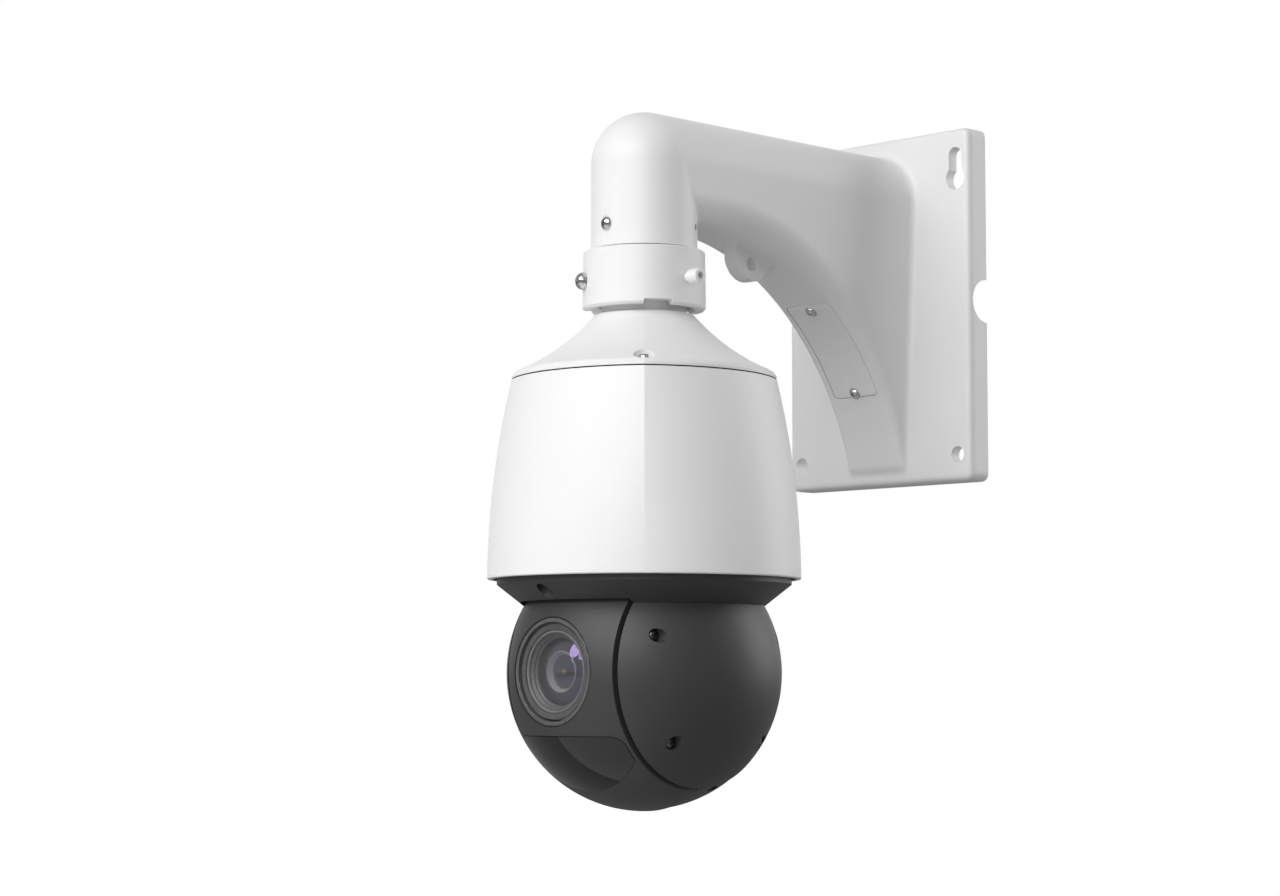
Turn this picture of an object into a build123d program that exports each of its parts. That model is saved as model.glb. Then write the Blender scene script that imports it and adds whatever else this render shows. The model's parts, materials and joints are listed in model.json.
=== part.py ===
from build123d import *
import os
from math import acos, cos, hypot, pi, radians, sin, sqrt

# Wall-mounted PTZ (pan-tilt-zoom) camera. Everything is modelled in the head frame:
# origin where the pan axis crosses the tilt axis, +Z up, lens towards -Y, wall towards +Y.
# write() then moves each piece to the wall frame, whose origin is the centre of the
# bracket plate's back face.

# ---- overall layout (mm) ----
REACH = 218.0            # wall face to pan axis
PLATE_Z = 220.5          # plate centre above the tilt axis
PRINT_GAP = 0.15         # gap between neighbouring covers of one body

# ---- wall bracket ----
PLATE_W, PLATE_H, PLATE_T = 144.0, 212.0, 16.5
PLATE_CORNER, PLATE_EDGE = 5.0, 3.7
PLATE_RIM, PLATE_WEB = 5.5, 7.4
HOLE_X, HOLE_Z = 62.0, 90.0
BOLT_R = 4.75
KEY_ENTRY_R, KEY_SLOT_R, KEY_DROP = 7.1, 4.8, 14.0
CABLE_NOTCH_R, CABLE_NOTCH_Z = 13.0, PLATE_Z + 2.0
TUBE_R, TUBE_BORE_R = 30.0, 24.0
TUBE_FOOT_Z, ELBOW_Z = 237.0, 285.7
ARM_TAPER = 0.0504       # arm half-width lost per mm below the elbow centre
ARM_WALL = 4.5
ARM_EDGE, ARM_BLEND = 4.0, 4.0       # fillets along the underside and round the plate joint
ARM_FOOT_Z, ARM_FOOT_CORNER = 125.0, 4.0
ARC_R, ARC_Y, ARC_Z = 170.3, 33.8, 83.5      # concave underside: radius and centre
LUG_R, LUG_T, LUG_Y, LUG_Z = 15.8, 10.0, 86.0, 244.0
LUG_HOLE_R, LUG_HOLE_Y, LUG_HOLE_Z = 4.0, 83.5, 237.7

TUBE_SCREW_Z = 249.4     # ring of three screw holes in the tube

# ---- access cover under the arm ----
COVER_A0, COVER_A1 = 29.6, 52.7      # degrees round the underside arc
COVER_HALF_W, COVER_T, COVER_CORNER = 16.8, 2.0, 2.5
GASKET_T = 0.8
COVER_SCREW_INSETS = (0.85, 1.75)    # degrees in from the lower and the upper end

# ---- mount collar and neck ----
COLLAR_BOT_Z, COLLAR_TOP_Z = 203.1, 235.9
COLLAR_BOT_R, COLLAR_TOP_R, COLLAR_BORE_R = 34.8, 34.3, 26.6
COLLAR_CEILING_Z = 226.0
SPIGOT_R, SPIGOT_BORE_R, SPIGOT_TOP_Z = 23.9, 19.5, 259.0
COLLAR_SCREW_Z = 218.6
CAP_HEAD_R, CAP_HEAD_L, CAP_SHANK_L = 4.2, 7.2, 14.8      # long socket screw of the collar
NECK_R, NECK_BORE_R = 24.0, 18.5

# ---- upper housing ----
SHROUD_BOT_Z, SEAM_Z = 51.7, 164.2
SHROUD_BOT_R, SHROUD_CURVE = 87.65, 0.001037
SHROUD_WALL, LIP_ROUND = 3.15, 0.8
SEAM_KINK = 8.82         # degrees by which each side leaves the corner's circle at the seam
SEAM_GAP = 0.8
CAP_FLARE_R = 120.0      # concave flare of the cap
CAP_FLARE_CR, CAP_FLARE_CZ = 118.2, 279.3
CAP_TOP_Z = 200.0
CAP_WALL = 3.0
CAP_SCREW_R, CAP_SEAT_Z, CAP_POCKET_R = 66.5, 168.2, 6.2
HOUSING_R, HOUSING_WALL = 63.0, 3.5
HOUSING_TOP_Z, HOUSING_FOOT_R = 160.2, 55.5
BASE_Z, BASE_T, BASE_R = 98.0, 4.0, 76.0
MAIN_BOARD_Z, POWER_BOARD_Z = 134.0, 146.0
STANDOFF_R, STANDOFF_AZ = 50.0, (20, 110, 200, 290)

# ---- pan drive ----
PAN_BEARING_ID, PAN_BEARING_OD, PAN_BEARING_W = 15.0, 24.0, 9.0
PAN_PULLEY_R, MOTOR_PULLEY_R = 28.0, 7.0
PAN_MOTOR_DIST, PAN_MOTOR_AZ = 43.0, 45.0
BELT_T, BELT_W = 1.2, 4.0
SHAFT_BORE_R, SLIP_ROTOR_R = 10.0, 4.0
RUN_GAP = 0.05           # radial clearance of running fits

# ---- pan yoke and skirt ----
YOKE_Z, YOKE_T, YOKE_R = 80.0, 4.0, 79.0
ARM_X0, ARM_X1, YOKE_PLATE_R = 46.0, 50.0, 54.0
SKIRT_R, SKIRT_EDGE_Z, SKIRT_TOP_Z = 82.3, 48.8, 66.5
SKIRT_LOW_R, SKIRT_LOW_Z = 67.2, 36.9
SKIRT_WALL = 2.5
SKIRT_CLEAR_R = 80.0     # sphere the tilting module turns inside
SKIRT_SCREW_R, SKIRT_BORE_R = 75.6, 4.7

# ---- ball ----
BALL_R, BALL_WALL = 76.6, 2.6
CHEEK_X, CHEEK_TOP_Z = 43.1, 36.82
CHEEK_SCREWS = [(-47.0, 19.0), (-34.0, -38.0), (35.0, -38.0), (47.0, 19.0)]
CHEEK_RECESS_R = 3.8
FRONT_X, REAR_X, REAR_SINK = 40.6, 42.8, 0.8
HUB_HOLE_R = 16.0
REAR_WELL = 5.0          # depth of the rear shell's screw wells
CHASSIS_X = 36.5         # outside face of the tilt chassis

# ---- lens, infrared window, tilt drive ----
WINDOW_Y, WINDOW_R, WINDOW_T = -70.5, 29.1, 2.6
BEZEL_R = 29.9
IR_TOP_Z, IR_HALF_X, IR_TOP_CORNER = -35.0, 38.8, 5.0
IR_LOW_Y, IR_LOW_Z, IR_LEAN = -40.9, -64.8, 0.301     # lower edge: a point of its plane and dy per mm down
IR_T, IR_GAP = 1.8, 0.4
BARREL_BORE_R, BARREL_REAR_R = 14.1, 17.4
TILT_BEARING_ID, TILT_BEARING_OD = 6.0, 12.0
TILT_PULLEY_R, TILT_SMALL_R, TILT_MOTOR_Z = 24.0, 6.0, 62.0
BELT_X0 = 52.0


# ---------------------------------------------------------------- helpers
def write(shape, name):
    """Move a piece from the head frame to the wall frame and save it."""
    export_step(Location((0, -REACH, -PLATE_Z)) * shape, f"parts/{name}.step")


def ring(r_out, r_in, z0, z1):
    """Flat ring about the Z axis."""
    outer = Pos(0, 0, (z0 + z1) / 2) * Cylinder(r_out, z1 - z0)
    return outer - Pos(0, 0, (z0 + z1) / 2) * Cylinder(r_in, z1 - z0 + 1)


def rod(r, start, axis, length):
    """Solid rod from start along axis."""
    plane = Plane(origin=start, z_dir=axis)
    return extrude(plane * Circle(r), length)


def tube_x(r_out, r_in, x0, x1):
    """Ring about the X axis."""
    return rod(r_out, (x0, 0, 0), (1, 0, 0), x1 - x0) - rod(r_in, (x0 - 1, 0, 0), (1, 0, 0), x1 - x0 + 2)


def turned(points, axis=Axis.Z):
    """Solid of revolution from an outline of (radius, height) points in the XZ plane."""
    wire = Polyline([(r, 0, z) for r, z in points], close=True)
    return revolve(make_face(wire), axis, 360)


def block(x0, x1, y0, y1, z0, z1):
    """Box between two corners."""
    return Pos((x0 + x1) / 2, (y0 + y1) / 2, (z0 + z1) / 2) * Box(x1 - x0, y1 - y0, z1 - z0)


def polar(az, r, z):
    """Point at a compass angle: 0 is the lens side (-Y), 90 is +X."""
    return (r * sin(radians(az)), -r * cos(radians(az)), z)


def rounded_disc(r, h, f):
    """Disc standing on z = 0 with a rounded top edge."""
    disc = Pos(0, 0, h / 2) * Cylinder(r, h)
    return fillet(disc.edges().group_by(Axis.Z)[-1], f)


def pan_screw(r, h, shank_r, shank_l):
    """Cross-recessed pan-head screw along +Z with the underside of its head at z = 0."""
    head = rounded_disc(r, h, 0.8 * h)
    for angle in (0, 90):
        head = head - Pos(0, 0, h) * Rot(0, 0, angle) * Box(1.2 * r, 0.24 * r, h)
    return head + Pos(0, 0, -shank_l / 2) * Cylinder(shank_r, shank_l)


def set_screw(r, length):
    """Headless screw along +Z with a hexagon socket, its top at z = 0."""
    body = Pos(0, 0, -length / 2) * Cylinder(r, length)
    return body - extrude(RegularPolygon(0.55 * r, 6), -0.5 * length)


def facing(point, direction):
    """Place that puts a piece's +Z along direction at point."""
    return Plane(origin=point, z_dir=direction).location


def outward(az, r, z):
    """Place on a cylinder about the pan axis whose +Z points away from the axis."""
    return facing(polar(az, r, z), polar(az, 1, 0))


def group(pieces):
    """Several separate solids kept in one node."""
    return Compound(children=list(pieces))


# ---------------------------------------------------------------- wall bracket
def plate_blank():
    y0 = REACH - PLATE_T
    plate = block(-PLATE_W / 2, PLATE_W / 2, y0, REACH, PLATE_Z - PLATE_H / 2, PLATE_Z + PLATE_H / 2)
    plate = fillet(plate.edges().filter_by(Axis.Y), PLATE_CORNER)
    return fillet(plate.faces().sort_by(Axis.Y)[0].edges(), PLATE_EDGE)


def arm_half_width(z):
    return TUBE_R - (ELBOW_Z - z) * ARM_TAPER


def arm_blank(inset, y_end):
    """Arm body: half-round top, tapering sides, concave round underside and a thin foot."""
    r = TUBE_R - inset
    foot_z = ARM_FOOT_Z + inset
    foot_w = arm_half_width(foot_z) - inset
    sides = Polyline([(-r, 0, ELBOW_Z), (-foot_w, 0, foot_z), (foot_w, 0, foot_z), (r, 0, ELBOW_Z)])
    crown = ThreePointArc((r, 0, ELBOW_Z), (0, 0, ELBOW_Z + r), (-r, 0, ELBOW_Z))
    prism = extrude(make_face(sides + crown), y_end, dir=(0, 1, 0))
    corners = ShapeList(e for e in prism.edges().filter_by(Axis.Y) if e.center().Z < foot_z + 1)
    prism = fillet(corners, ARM_FOOT_CORNER)
    arc_r = ARC_R + inset
    hollow = rod(arc_r, (-TUBE_R, ARC_Y, ARC_Z), (1, 0, 0), 2 * TUBE_R)
    front = block(-TUBE_R, TUBE_R, -1, ARC_Y, ARC_Z, ARC_Z + arc_r)
    return prism - hollow - front


def down_tube(r, z0):
    return Pos(0, 0, (z0 + ELBOW_Z) / 2) * Cylinder(r, ELBOW_Z - z0) + Pos(0, 0, ELBOW_Z) * Sphere(r)


def arc_edges(shape):
    """The two long edges between the arm's sides and its round underside."""
    long_edges = shape.edges().filter_by(GeomType.BSPLINE) + shape.edges().filter_by(GeomType.ELLIPSE)
    return ShapeList(e for e in long_edges if e.center().Z < ELBOW_Z and e.length > 100)


def arc_point(angle, r):
    """Point of the arm's middle plane, round the underside arc's centre."""
    return (0, ARC_Y + r * cos(radians(angle)), ARC_Z + r * sin(radians(angle)))


def arc_out(angle):
    """Direction out of the underside, towards the arc's centre."""
    return (0, -cos(radians(angle)), -sin(radians(angle)))


def arc_block(half_w, r0, r1, a0, a1, corner):
    """Curved slab that follows the underside, with rounded corners."""
    pts = [arc_point(a, r) for r, a in ((r0, a0), (r0, (a0 + a1) / 2), (r0, a1))]
    back = [arc_point(a, r) for r, a in ((r1, a1), (r1, (a0 + a1) / 2), (r1, a0))]
    edges = ThreePointArc(*pts) + Line(pts[2], back[0]) + ThreePointArc(*back) + Line(back[2], pts[0])
    slab = extrude(make_face(edges), half_w, dir=(1, 0, 0), both=True)
    short = ShapeList(e for e in slab.edges() if abs(e.length - (r1 - r0)) < 0.01)
    return fillet(short, corner)


def cover_screw_angles():
    low, high = COVER_SCREW_INSETS
    return (COVER_A0 + low, COVER_A1 - high)


def lug():
    disc = rod(LUG_R, (-LUG_T / 2, LUG_Y, LUG_Z), (1, 0, 0), LUG_T)
    web = block(-LUG_T / 2, LUG_T / 2, LUG_Y - LUG_R, LUG_Y + LUG_R, LUG_Z, LUG_Z + 12)
    return disc + web - rod(LUG_HOLE_R, (-LUG_T, LUG_HOLE_Y, LUG_HOLE_Z), (1, 0, 0), 2 * LUG_T)


def plate_cuts():
    """Round holes, keyholes and the side cable notches."""
    y0 = REACH - PLATE_T - 5
    cuts = []
    for side in (-1, 1):
        x = side * HOLE_X
        top = PLATE_Z + HOLE_Z
        cuts.append(rod(BOLT_R, (x, y0, PLATE_Z - HOLE_Z), (0, 1, 0), PLATE_T + 10))
        cuts.append(rod(KEY_ENTRY_R, (x, y0, top - KEY_DROP), (0, 1, 0), PLATE_T + 10))
        cuts.append(rod(KEY_SLOT_R, (x, y0, top), (0, 1, 0), PLATE_T + 10))
        cuts.append(block(x - KEY_SLOT_R, x + KEY_SLOT_R, y0, REACH + 5, top - KEY_DROP, top))
        cuts.append(rod(CABLE_NOTCH_R, (x, REACH, CABLE_NOTCH_Z), (side, 0, 0), PLATE_W / 2))
    return cuts


def plate_hollow():
    """Pocket in the back of the plate, with a ring left round each screw hole."""
    half_w = PLATE_W / 2 - PLATE_RIM
    half_h = PLATE_H / 2 - PLATE_RIM
    y0 = REACH - PLATE_T + PLATE_WEB
    pocket = block(-half_w, half_w, y0, REACH + 1, PLATE_Z - half_h, PLATE_Z + half_h)
    return fillet(pocket.edges().filter_by(Axis.Y), 3)


def wall_bracket():
    arm = fillet(arc_edges(arm_blank(0, REACH - PLATE_T + 4)), ARM_EDGE)
    body = plate_blank() + arm
    y_face = REACH - PLATE_T
    seam = ShapeList(
        e for e in body.edges()
        if abs(e.center().Y - y_face) < 0.05 and e.bounding_box().size.Y < 0.05
        and abs(e.center().X) < TUBE_R + 2 and e.center().Z > ARM_FOOT_Z - 1 and e.center().Z < 320
    )
    body = fillet(seam, ARM_BLEND)
    body = body + down_tube(TUBE_R, TUBE_FOOT_Z) + lug()
    body = body - arm_blank(ARM_WALL, REACH + 1)
    body = body - down_tube(TUBE_R - ARM_WALL, SPIGOT_TOP_Z + 1)
    body = body - Pos(0, 0, TUBE_FOOT_Z + 15) * Cylinder(TUBE_BORE_R, 40) - plate_hollow()
    for cut in plate_cuts():
        body = body - cut
    # seat and opening of the access cover
    body = body - arc_block(COVER_HALF_W + 0.25, ARC_R - 5, ARC_R + COVER_T + GASKET_T,
                            COVER_A0 - 0.1, COVER_A1 + 0.1, COVER_CORNER)
    for a in cover_screw_angles():
        body = body + rod(4.0, arc_point(a, ARC_R + COVER_T + GASKET_T), [-c for c in arc_out(a)], 6)
        body = body - rod(1.7, arc_point(a, ARC_R), [-c for c in arc_out(a)], 12)
    body = body - arc_block(COVER_HALF_W - 5, ARC_R, ARC_R + 9, COVER_A0 + 3.6, COVER_A1 - 3.6, COVER_CORNER)
    for az in (0, 120, 240):
        body = body - outward(az, TUBE_BORE_R - 1, TUBE_SCREW_Z) * Pos(0, 0, 5) * Cylinder(2.1, 12)
    return body


def access_cover():
    cover = arc_block(COVER_HALF_W, ARC_R, ARC_R + COVER_T, COVER_A0, COVER_A1, COVER_CORNER)
    for a in cover_screw_angles():
        cover = cover - rod(2.1, arc_point(a, ARC_R - 2), [-c for c in arc_out(a)], 8)
    return cover


def cover_gasket():
    r0 = ARC_R + COVER_T
    gasket = arc_block(COVER_HALF_W, r0, r0 + GASKET_T, COVER_A0, COVER_A1, COVER_CORNER)
    gasket = gasket - arc_block(COVER_HALF_W - 4.6, r0 - 1, r0 + 2, COVER_A0 + 3.4, COVER_A1 - 3.4, 2)
    for a in cover_screw_angles():
        gasket = gasket - rod(2.1, arc_point(a, ARC_R - 2), [-c for c in arc_out(a)], 8)
    return gasket


def cover_screws():
    head_r = ARC_R - 0.04    # the flat head touches the curved cover at two points of its rim
    return group(facing(arc_point(a, head_r), arc_out(a)) * pan_screw(3.5, 2.4, 1.6, 9)
                 for a in cover_screw_angles())


def tube_lock_screw():
    return outward(0, TUBE_R, TUBE_SCREW_Z) * pan_screw(4.0, 2.8, 2.0, 5.5)


def tube_set_screws():
    return group(outward(az, TUBE_R - 1.5, TUBE_SCREW_Z) * set_screw(2.0, 4) for az in (120, 240))


# ---------------------------------------------------------------- collar and neck
def mount_collar():
    lip = 1.2
    body = turned([
        (COLLAR_BORE_R, COLLAR_BOT_Z + 2), (COLLAR_BORE_R + 2, COLLAR_BOT_Z),
        (COLLAR_BOT_R - lip, COLLAR_BOT_Z),
        (COLLAR_BOT_R, COLLAR_BOT_Z + lip), (COLLAR_TOP_R, COLLAR_TOP_Z - 0.6),
        (COLLAR_TOP_R - 0.6, COLLAR_TOP_Z), (SPIGOT_R, COLLAR_TOP_Z), (SPIGOT_R, SPIGOT_TOP_Z - 1),
        (SPIGOT_R - 1, SPIGOT_TOP_Z), (SPIGOT_BORE_R, SPIGOT_TOP_Z), (SPIGOT_BORE_R, COLLAR_CEILING_Z),
        (COLLAR_BORE_R, COLLAR_CEILING_Z)])
    for az in (58, 178, 298):
        notch = Pos(0, 0, COLLAR_BOT_Z) * Box(16, 30, 5)
        body = body - Pos(*polar(az, COLLAR_BOT_R, 0)) * Rot(0, 0, az) * notch
    for az, r in ((90, 2.6), (-30, 2.6), (210, 2.6)):
        body = body - outward(az, COLLAR_BORE_R - 2, COLLAR_SCREW_Z) * Pos(0, 0, 6) * Cylinder(r, 16)
    return body


def collar_cap_screw():
    """Long hexagon-socket screw that stands out of the collar."""
    head = Pos(0, 0, CAP_HEAD_L / 2) * Cylinder(CAP_HEAD_R, CAP_HEAD_L)
    head = fillet(head.edges().group_by(Axis.Z)[-1], 0.5)
    head = head - Pos(0, 0, CAP_HEAD_L) * extrude(RegularPolygon(2.4, 6), -4)
    screw = head + Pos(0, 0, -CAP_SHANK_L / 2) * Cylinder(2.5, CAP_SHANK_L)
    return outward(90, COLLAR_TOP_R + 2.7, COLLAR_SCREW_Z) * screw


def collar_pan_screws():
    return group(outward(az, COLLAR_BOT_R + 1.5, COLLAR_SCREW_Z) * pan_screw(4.65, 3.6, 2.5, 13)
                 for az in (-30, 210))


def collar_washers():
    washer = Cylinder(5.0, 1.5) - Cylinder(2.6, 3)
    return group(outward(az, COLLAR_BOT_R + 0.75, COLLAR_SCREW_Z) * washer for az in (-30, 210))


def neck_tube():
    """Tube that hangs in the collar by a groove for the side screws; its flange is under the cap."""
    groove_r = 22.0
    flange_r, flange_z, flange_t = 27.0, 190.0, 3.0
    return turned([
        (NECK_BORE_R, flange_z), (flange_r, flange_z), (flange_r, flange_z + flange_t),
        (NECK_R, flange_z + flange_t), (NECK_R, COLLAR_SCREW_Z - 3.4),
        (groove_r, COLLAR_SCREW_Z - 3.4), (groove_r, COLLAR_SCREW_Z + 3.4), (NECK_R, COLLAR_SCREW_Z + 3.4),
        (NECK_R, COLLAR_CEILING_Z - 2.2), (NECK_BORE_R, COLLAR_CEILING_Z - 2.2)])


# ---------------------------------------------------------------- upper housing
def four_sided(corner_r, kink, z):
    """Horizontal section with four soft corners: kink is how far, in degrees, each side
    leaves the circle through the corners. A kink of 0 gives that circle."""
    half = radians(45 - kink)
    side_r = corner_r * sin(radians(45)) / sin(half)
    mid = side_r - (side_r * cos(half) - corner_r * cos(radians(45)))
    arcs = [ThreePointArc(polar(az - 45, corner_r, z), polar(az, mid, z), polar(az + 45, corner_r, z))
            for az in (0, 90, 180, 270)]
    return make_face(arcs)


def kink_at(z):
    """Corner sharpness: none at the shroud's lip, full at the seam, none at the neck."""
    if z < SEAM_Z:
        return SEAM_KINK * max(0.0, (z - SHROUD_BOT_Z) / (SEAM_Z - SHROUD_BOT_Z))
    return SEAM_KINK * max(0.0, (CAP_TOP_Z - z) / (CAP_TOP_Z - SEAM_Z))


def shroud_r(z):
    return SHROUD_BOT_R - SHROUD_CURVE * (z - SHROUD_BOT_Z) ** 2


def shroud_blank(inset, z0, z1):
    steps = 5
    zs = [z0 + (z1 - z0) * i / steps for i in range(steps + 1)]
    return loft([four_sided(shroud_r(z) - inset, kink_at(z), z) for z in zs])


def cap_screw_spots(z):
    return [polar(az, CAP_SCREW_R, z) for az in (45, 135, 225, 315)]


def sun_shroud():
    body = shroud_blank(0, SHROUD_BOT_Z, SEAM_Z - SEAM_GAP / 2)
    body = fillet(body.edges().group_by(Axis.Z)[0], LIP_ROUND)
    body = body - shroud_blank(SHROUD_WALL, SHROUD_BOT_Z - 0.5, SEAM_Z - SEAM_GAP / 2 - 3.4)
    body = body - Pos(0, 0, SEAM_Z) * Cylinder(58, 20)
    for spot in cap_screw_spots(SEAM_Z):
        body = body - Pos(*spot) * Cylinder(2.2, 20)
    return body


def seam_gasket():
    z0 = SEAM_Z - SEAM_GAP / 2
    outline = four_sided(shroud_r(SEAM_Z) - 0.7, SEAM_KINK, z0)
    gasket = extrude(outline, SEAM_GAP, dir=(0, 0, 1)) - Pos(0, 0, SEAM_Z) * Cylinder(60, 10)
    for spot in cap_screw_spots(SEAM_Z):
        gasket = gasket - Pos(*spot) * Cylinder(2.2, 20)
    return gasket


def flare_r(z, inset):
    """Radius of the cap's concave flare at height z."""
    r = CAP_FLARE_R + inset
    return CAP_FLARE_CR - sqrt(r * r - (CAP_FLARE_CZ - z) ** 2)


def cap_blank(inset):
    """Rim and concave flare of the top cap."""
    z0 = SEAM_Z + SEAM_GAP / 2
    rim = [(z0, shroud_r(SEAM_Z)), (z0 + 1.4, shroud_r(SEAM_Z) - 0.2), (z0 + 3.4, shroud_r(SEAM_Z) - 1.6),
           (z0 + 4.6, shroud_r(SEAM_Z) - 3.8)]
    body = loft([four_sided(r - inset, kink_at(z), z - (inset if z > z0 else 1 + inset)) for z, r in rim],
                ruled=True)
    z_low = rim[-1][0] - inset
    r_low = rim[-1][1] - inset
    steps = 5
    sections = [four_sided(r_low, kink_at(rim[-1][0]), z_low)]
    for i in range(1, steps + 1):
        z = z_low + (CAP_TOP_Z - z_low) * i / steps
        sections.append(four_sided(flare_r(z, inset), kink_at(z), z))
    return body + loft(sections)


def top_cap():
    body = cap_blank(0) - cap_blank(CAP_WALL)
    body = body - block(-90, 90, -90, 90, SEAM_Z - 10, SEAM_Z + SEAM_GAP / 2)
    columns, column_r = None, 7.6
    for spot in cap_screw_spots(0):
        height = CAP_SEAT_Z - SEAM_Z + 4 - SEAM_GAP
        column = Pos(spot[0], spot[1], (SEAM_Z + CAP_SEAT_Z) / 2 + 2) * Cylinder(column_r, height)
        columns = column if columns is None else columns + column
    body = body + (columns & cap_blank(0))
    body = body - block(-90, 90, -90, 90, SEAM_Z - 10, SEAM_Z + SEAM_GAP / 2)
    for x, y, _ in cap_screw_spots(0):
        body = body - Pos(x, y, CAP_SEAT_Z + 10) * Cylinder(CAP_POCKET_R, 20)
        body = body - Pos(x, y, CAP_SEAT_Z) * Cylinder(2.2, 30)
    return body - Pos(0, 0, CAP_TOP_Z - 5) * Cylinder(NECK_R + 0.1, 20)


def cap_screws():
    return group(Pos(x, y, CAP_SEAT_Z) * pan_screw(3.4, 2.6, 2.0, 18.2) for x, y, _ in cap_screw_spots(0))


def upper_housing():
    """Inner can with four ears for the cap screws and four feet for the base screws."""
    body = ring(HOUSING_R, HOUSING_R - HOUSING_WALL, BASE_Z + BASE_T, HOUSING_TOP_Z)
    bore = Pos(0, 0, BASE_Z) * Cylinder(HOUSING_R - HOUSING_WALL, 200)
    for x, y, _ in cap_screw_spots(0):
        ear = Pos(x, y, HOUSING_TOP_Z - 7) * Cylinder(5.0, 14)
        body = body + (ear - bore) - Pos(x, y, HOUSING_TOP_Z) * Cylinder(2.05, 30)
    for az in (0, 90, 180, 270):
        x, y, _ = polar(az, HOUSING_FOOT_R, 0)
        foot = Pos(x, y, BASE_Z + BASE_T + 6) * Cylinder(4.2, 12)
        body = body + foot - Pos(x, y, BASE_Z + 10) * Cylinder(1.55, 17)
    return body


def base_plate():
    """Fixed plate that carries the pan bearing and the pan motor."""
    z1 = BASE_Z + BASE_T
    seat_z = z1 - PAN_BEARING_W
    body = Pos(0, 0, BASE_Z + BASE_T / 2) * Cylinder(BASE_R, BASE_T)
    body = body + Pos(0, 0, (seat_z - 1.5 + BASE_Z) / 2) * Cylinder(PAN_BEARING_OD + 5, BASE_Z - seat_z + 1.5)
    body = body - Pos(0, 0, seat_z + 10) * Cylinder(PAN_BEARING_OD, 20)
    body = body - Pos(0, 0, seat_z) * Cylinder(PAN_BEARING_OD - 3, 20)
    x, y, _ = polar(PAN_MOTOR_AZ, PAN_MOTOR_DIST, 0)
    body = body - Pos(x, y, BASE_Z) * Cylinder(5.2, 20)
    for az in (0, 90, 180, 270):
        x, y, _ = polar(az, HOUSING_FOOT_R, 0)
        body = body - Pos(x, y, BASE_Z) * Cylinder(1.8, 20)
    return body


def base_screws():
    return group(facing(polar(az, HOUSING_FOOT_R, BASE_Z), (0, 0, -1)) * pan_screw(2.8, 2.0, 1.5, 12)
                 for az in (0, 90, 180, 270))


def bearing_ring(r_in, r_out, width, ball_track_r, groove_r):
    """Bearing ring about Z, centred on z = 0, with a ball groove."""
    body = Cylinder(r_out, width) - Cylinder(r_in, width + 1)
    return body - Torus(ball_track_r, groove_r)


def pan_bearing_z():
    return BASE_Z + BASE_T - PAN_BEARING_W / 2


def pan_bearing_outer():
    return Pos(0, 0, pan_bearing_z()) * bearing_ring(21.0, PAN_BEARING_OD, PAN_BEARING_W, 19.5, 2.4)


def pan_bearing_inner():
    return Pos(0, 0, pan_bearing_z()) * bearing_ring(PAN_BEARING_ID, 18.0, PAN_BEARING_W, 19.5, 2.4)


def pan_bearing_balls():
    count = 18
    return group(Pos(*polar(i * 360 / count, 19.5, pan_bearing_z())) * Sphere(2.3) for i in range(count))


def pan_shaft():
    """Hollow shaft with a shoulder under the bearing."""
    top = BASE_Z + BASE_T + 2
    r = PAN_BEARING_ID
    seat_z = top - 2 - PAN_BEARING_W
    body = ring(r - 0.02, SHAFT_BORE_R, YOKE_Z, top)
    return body + ring(r + 2, r - 1, seat_z - 1.2, seat_z)


def pan_pulley():
    z0 = YOKE_Z + YOKE_T
    return ring(PAN_PULLEY_R, PAN_BEARING_ID, z0, z0 + 6)


def pan_motor_spot(z):
    return polar(PAN_MOTOR_AZ, PAN_MOTOR_DIST, z)


def pan_motor():
    """Can motor with a pilot boss; its shaft hole holds the pulley's spindle."""
    z1 = BASE_Z + BASE_T
    x, y, _ = pan_motor_spot(0)
    body = Pos(x, y, z1 + 12) * Cylinder(14, 24) + Pos(x, y, z1 - 1) * Cylinder(5, 6)
    return body - Pos(x, y, z1) * Cylinder(2 + RUN_GAP, 30)


def pan_motor_pulley():
    z0 = YOKE_Z + YOKE_T + 0.8
    x, y, _ = pan_motor_spot(0)
    spindle_top = BASE_Z + BASE_T + 14
    pulley = Pos(x, y, z0 + 2.6) * Cylinder(MOTOR_PULLEY_R, 5.2)
    return pulley + Pos(x, y, (z0 + spindle_top) / 2) * Cylinder(2, spindle_top - z0)


def belt_loop(r_big, r_small, distance):
    """Flat belt about Z round two pulleys, the big one at the origin, the small one on +X."""
    def outline(extra):
        a, b = r_big + extra, r_small + extra
        lean = acos((a - b) / distance)
        big = [(a * cos(t), a * sin(t)) for t in (lean, pi, 2 * pi - lean)]
        small = [(distance + b * cos(t), b * sin(t)) for t in (-lean, 0, lean)]
        edges = ThreePointArc(*big) + Line(big[2], small[0]) + ThreePointArc(*small) + Line(small[2], big[0])
        return make_face(edges)
    return extrude(outline(RUN_GAP + BELT_T) - outline(RUN_GAP), BELT_W)


def pan_belt():
    place = Pos(0, 0, YOKE_Z + YOKE_T + 1.4) * Rot(0, 0, PAN_MOTOR_AZ - 90)
    return place * belt_loop(PAN_PULLEY_R, MOTOR_PULLEY_R, PAN_MOTOR_DIST)


def slip_ring_stator():
    z1 = BASE_Z + BASE_T
    r_in = SLIP_ROTOR_R + 0.3
    return turned([(r_in, z1 + 3), (25.5, z1 + 3), (25.5, z1), (28, z1), (28, z1 + 5), (9.5, z1 + 5),
                   (9.5, z1 + 25), (r_in, z1 + 25)])


def slip_ring_rotor():
    """Rod with a flange that closes the foot of the pan shaft."""
    top = BASE_Z + BASE_T + 24
    body = Pos(0, 0, (YOKE_Z + top) / 2) * Cylinder(SLIP_ROTOR_R, top - YOKE_Z)
    return body + Pos(0, 0, YOKE_Z + 1) * Cylinder(SHAFT_BORE_R, 2)


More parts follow.
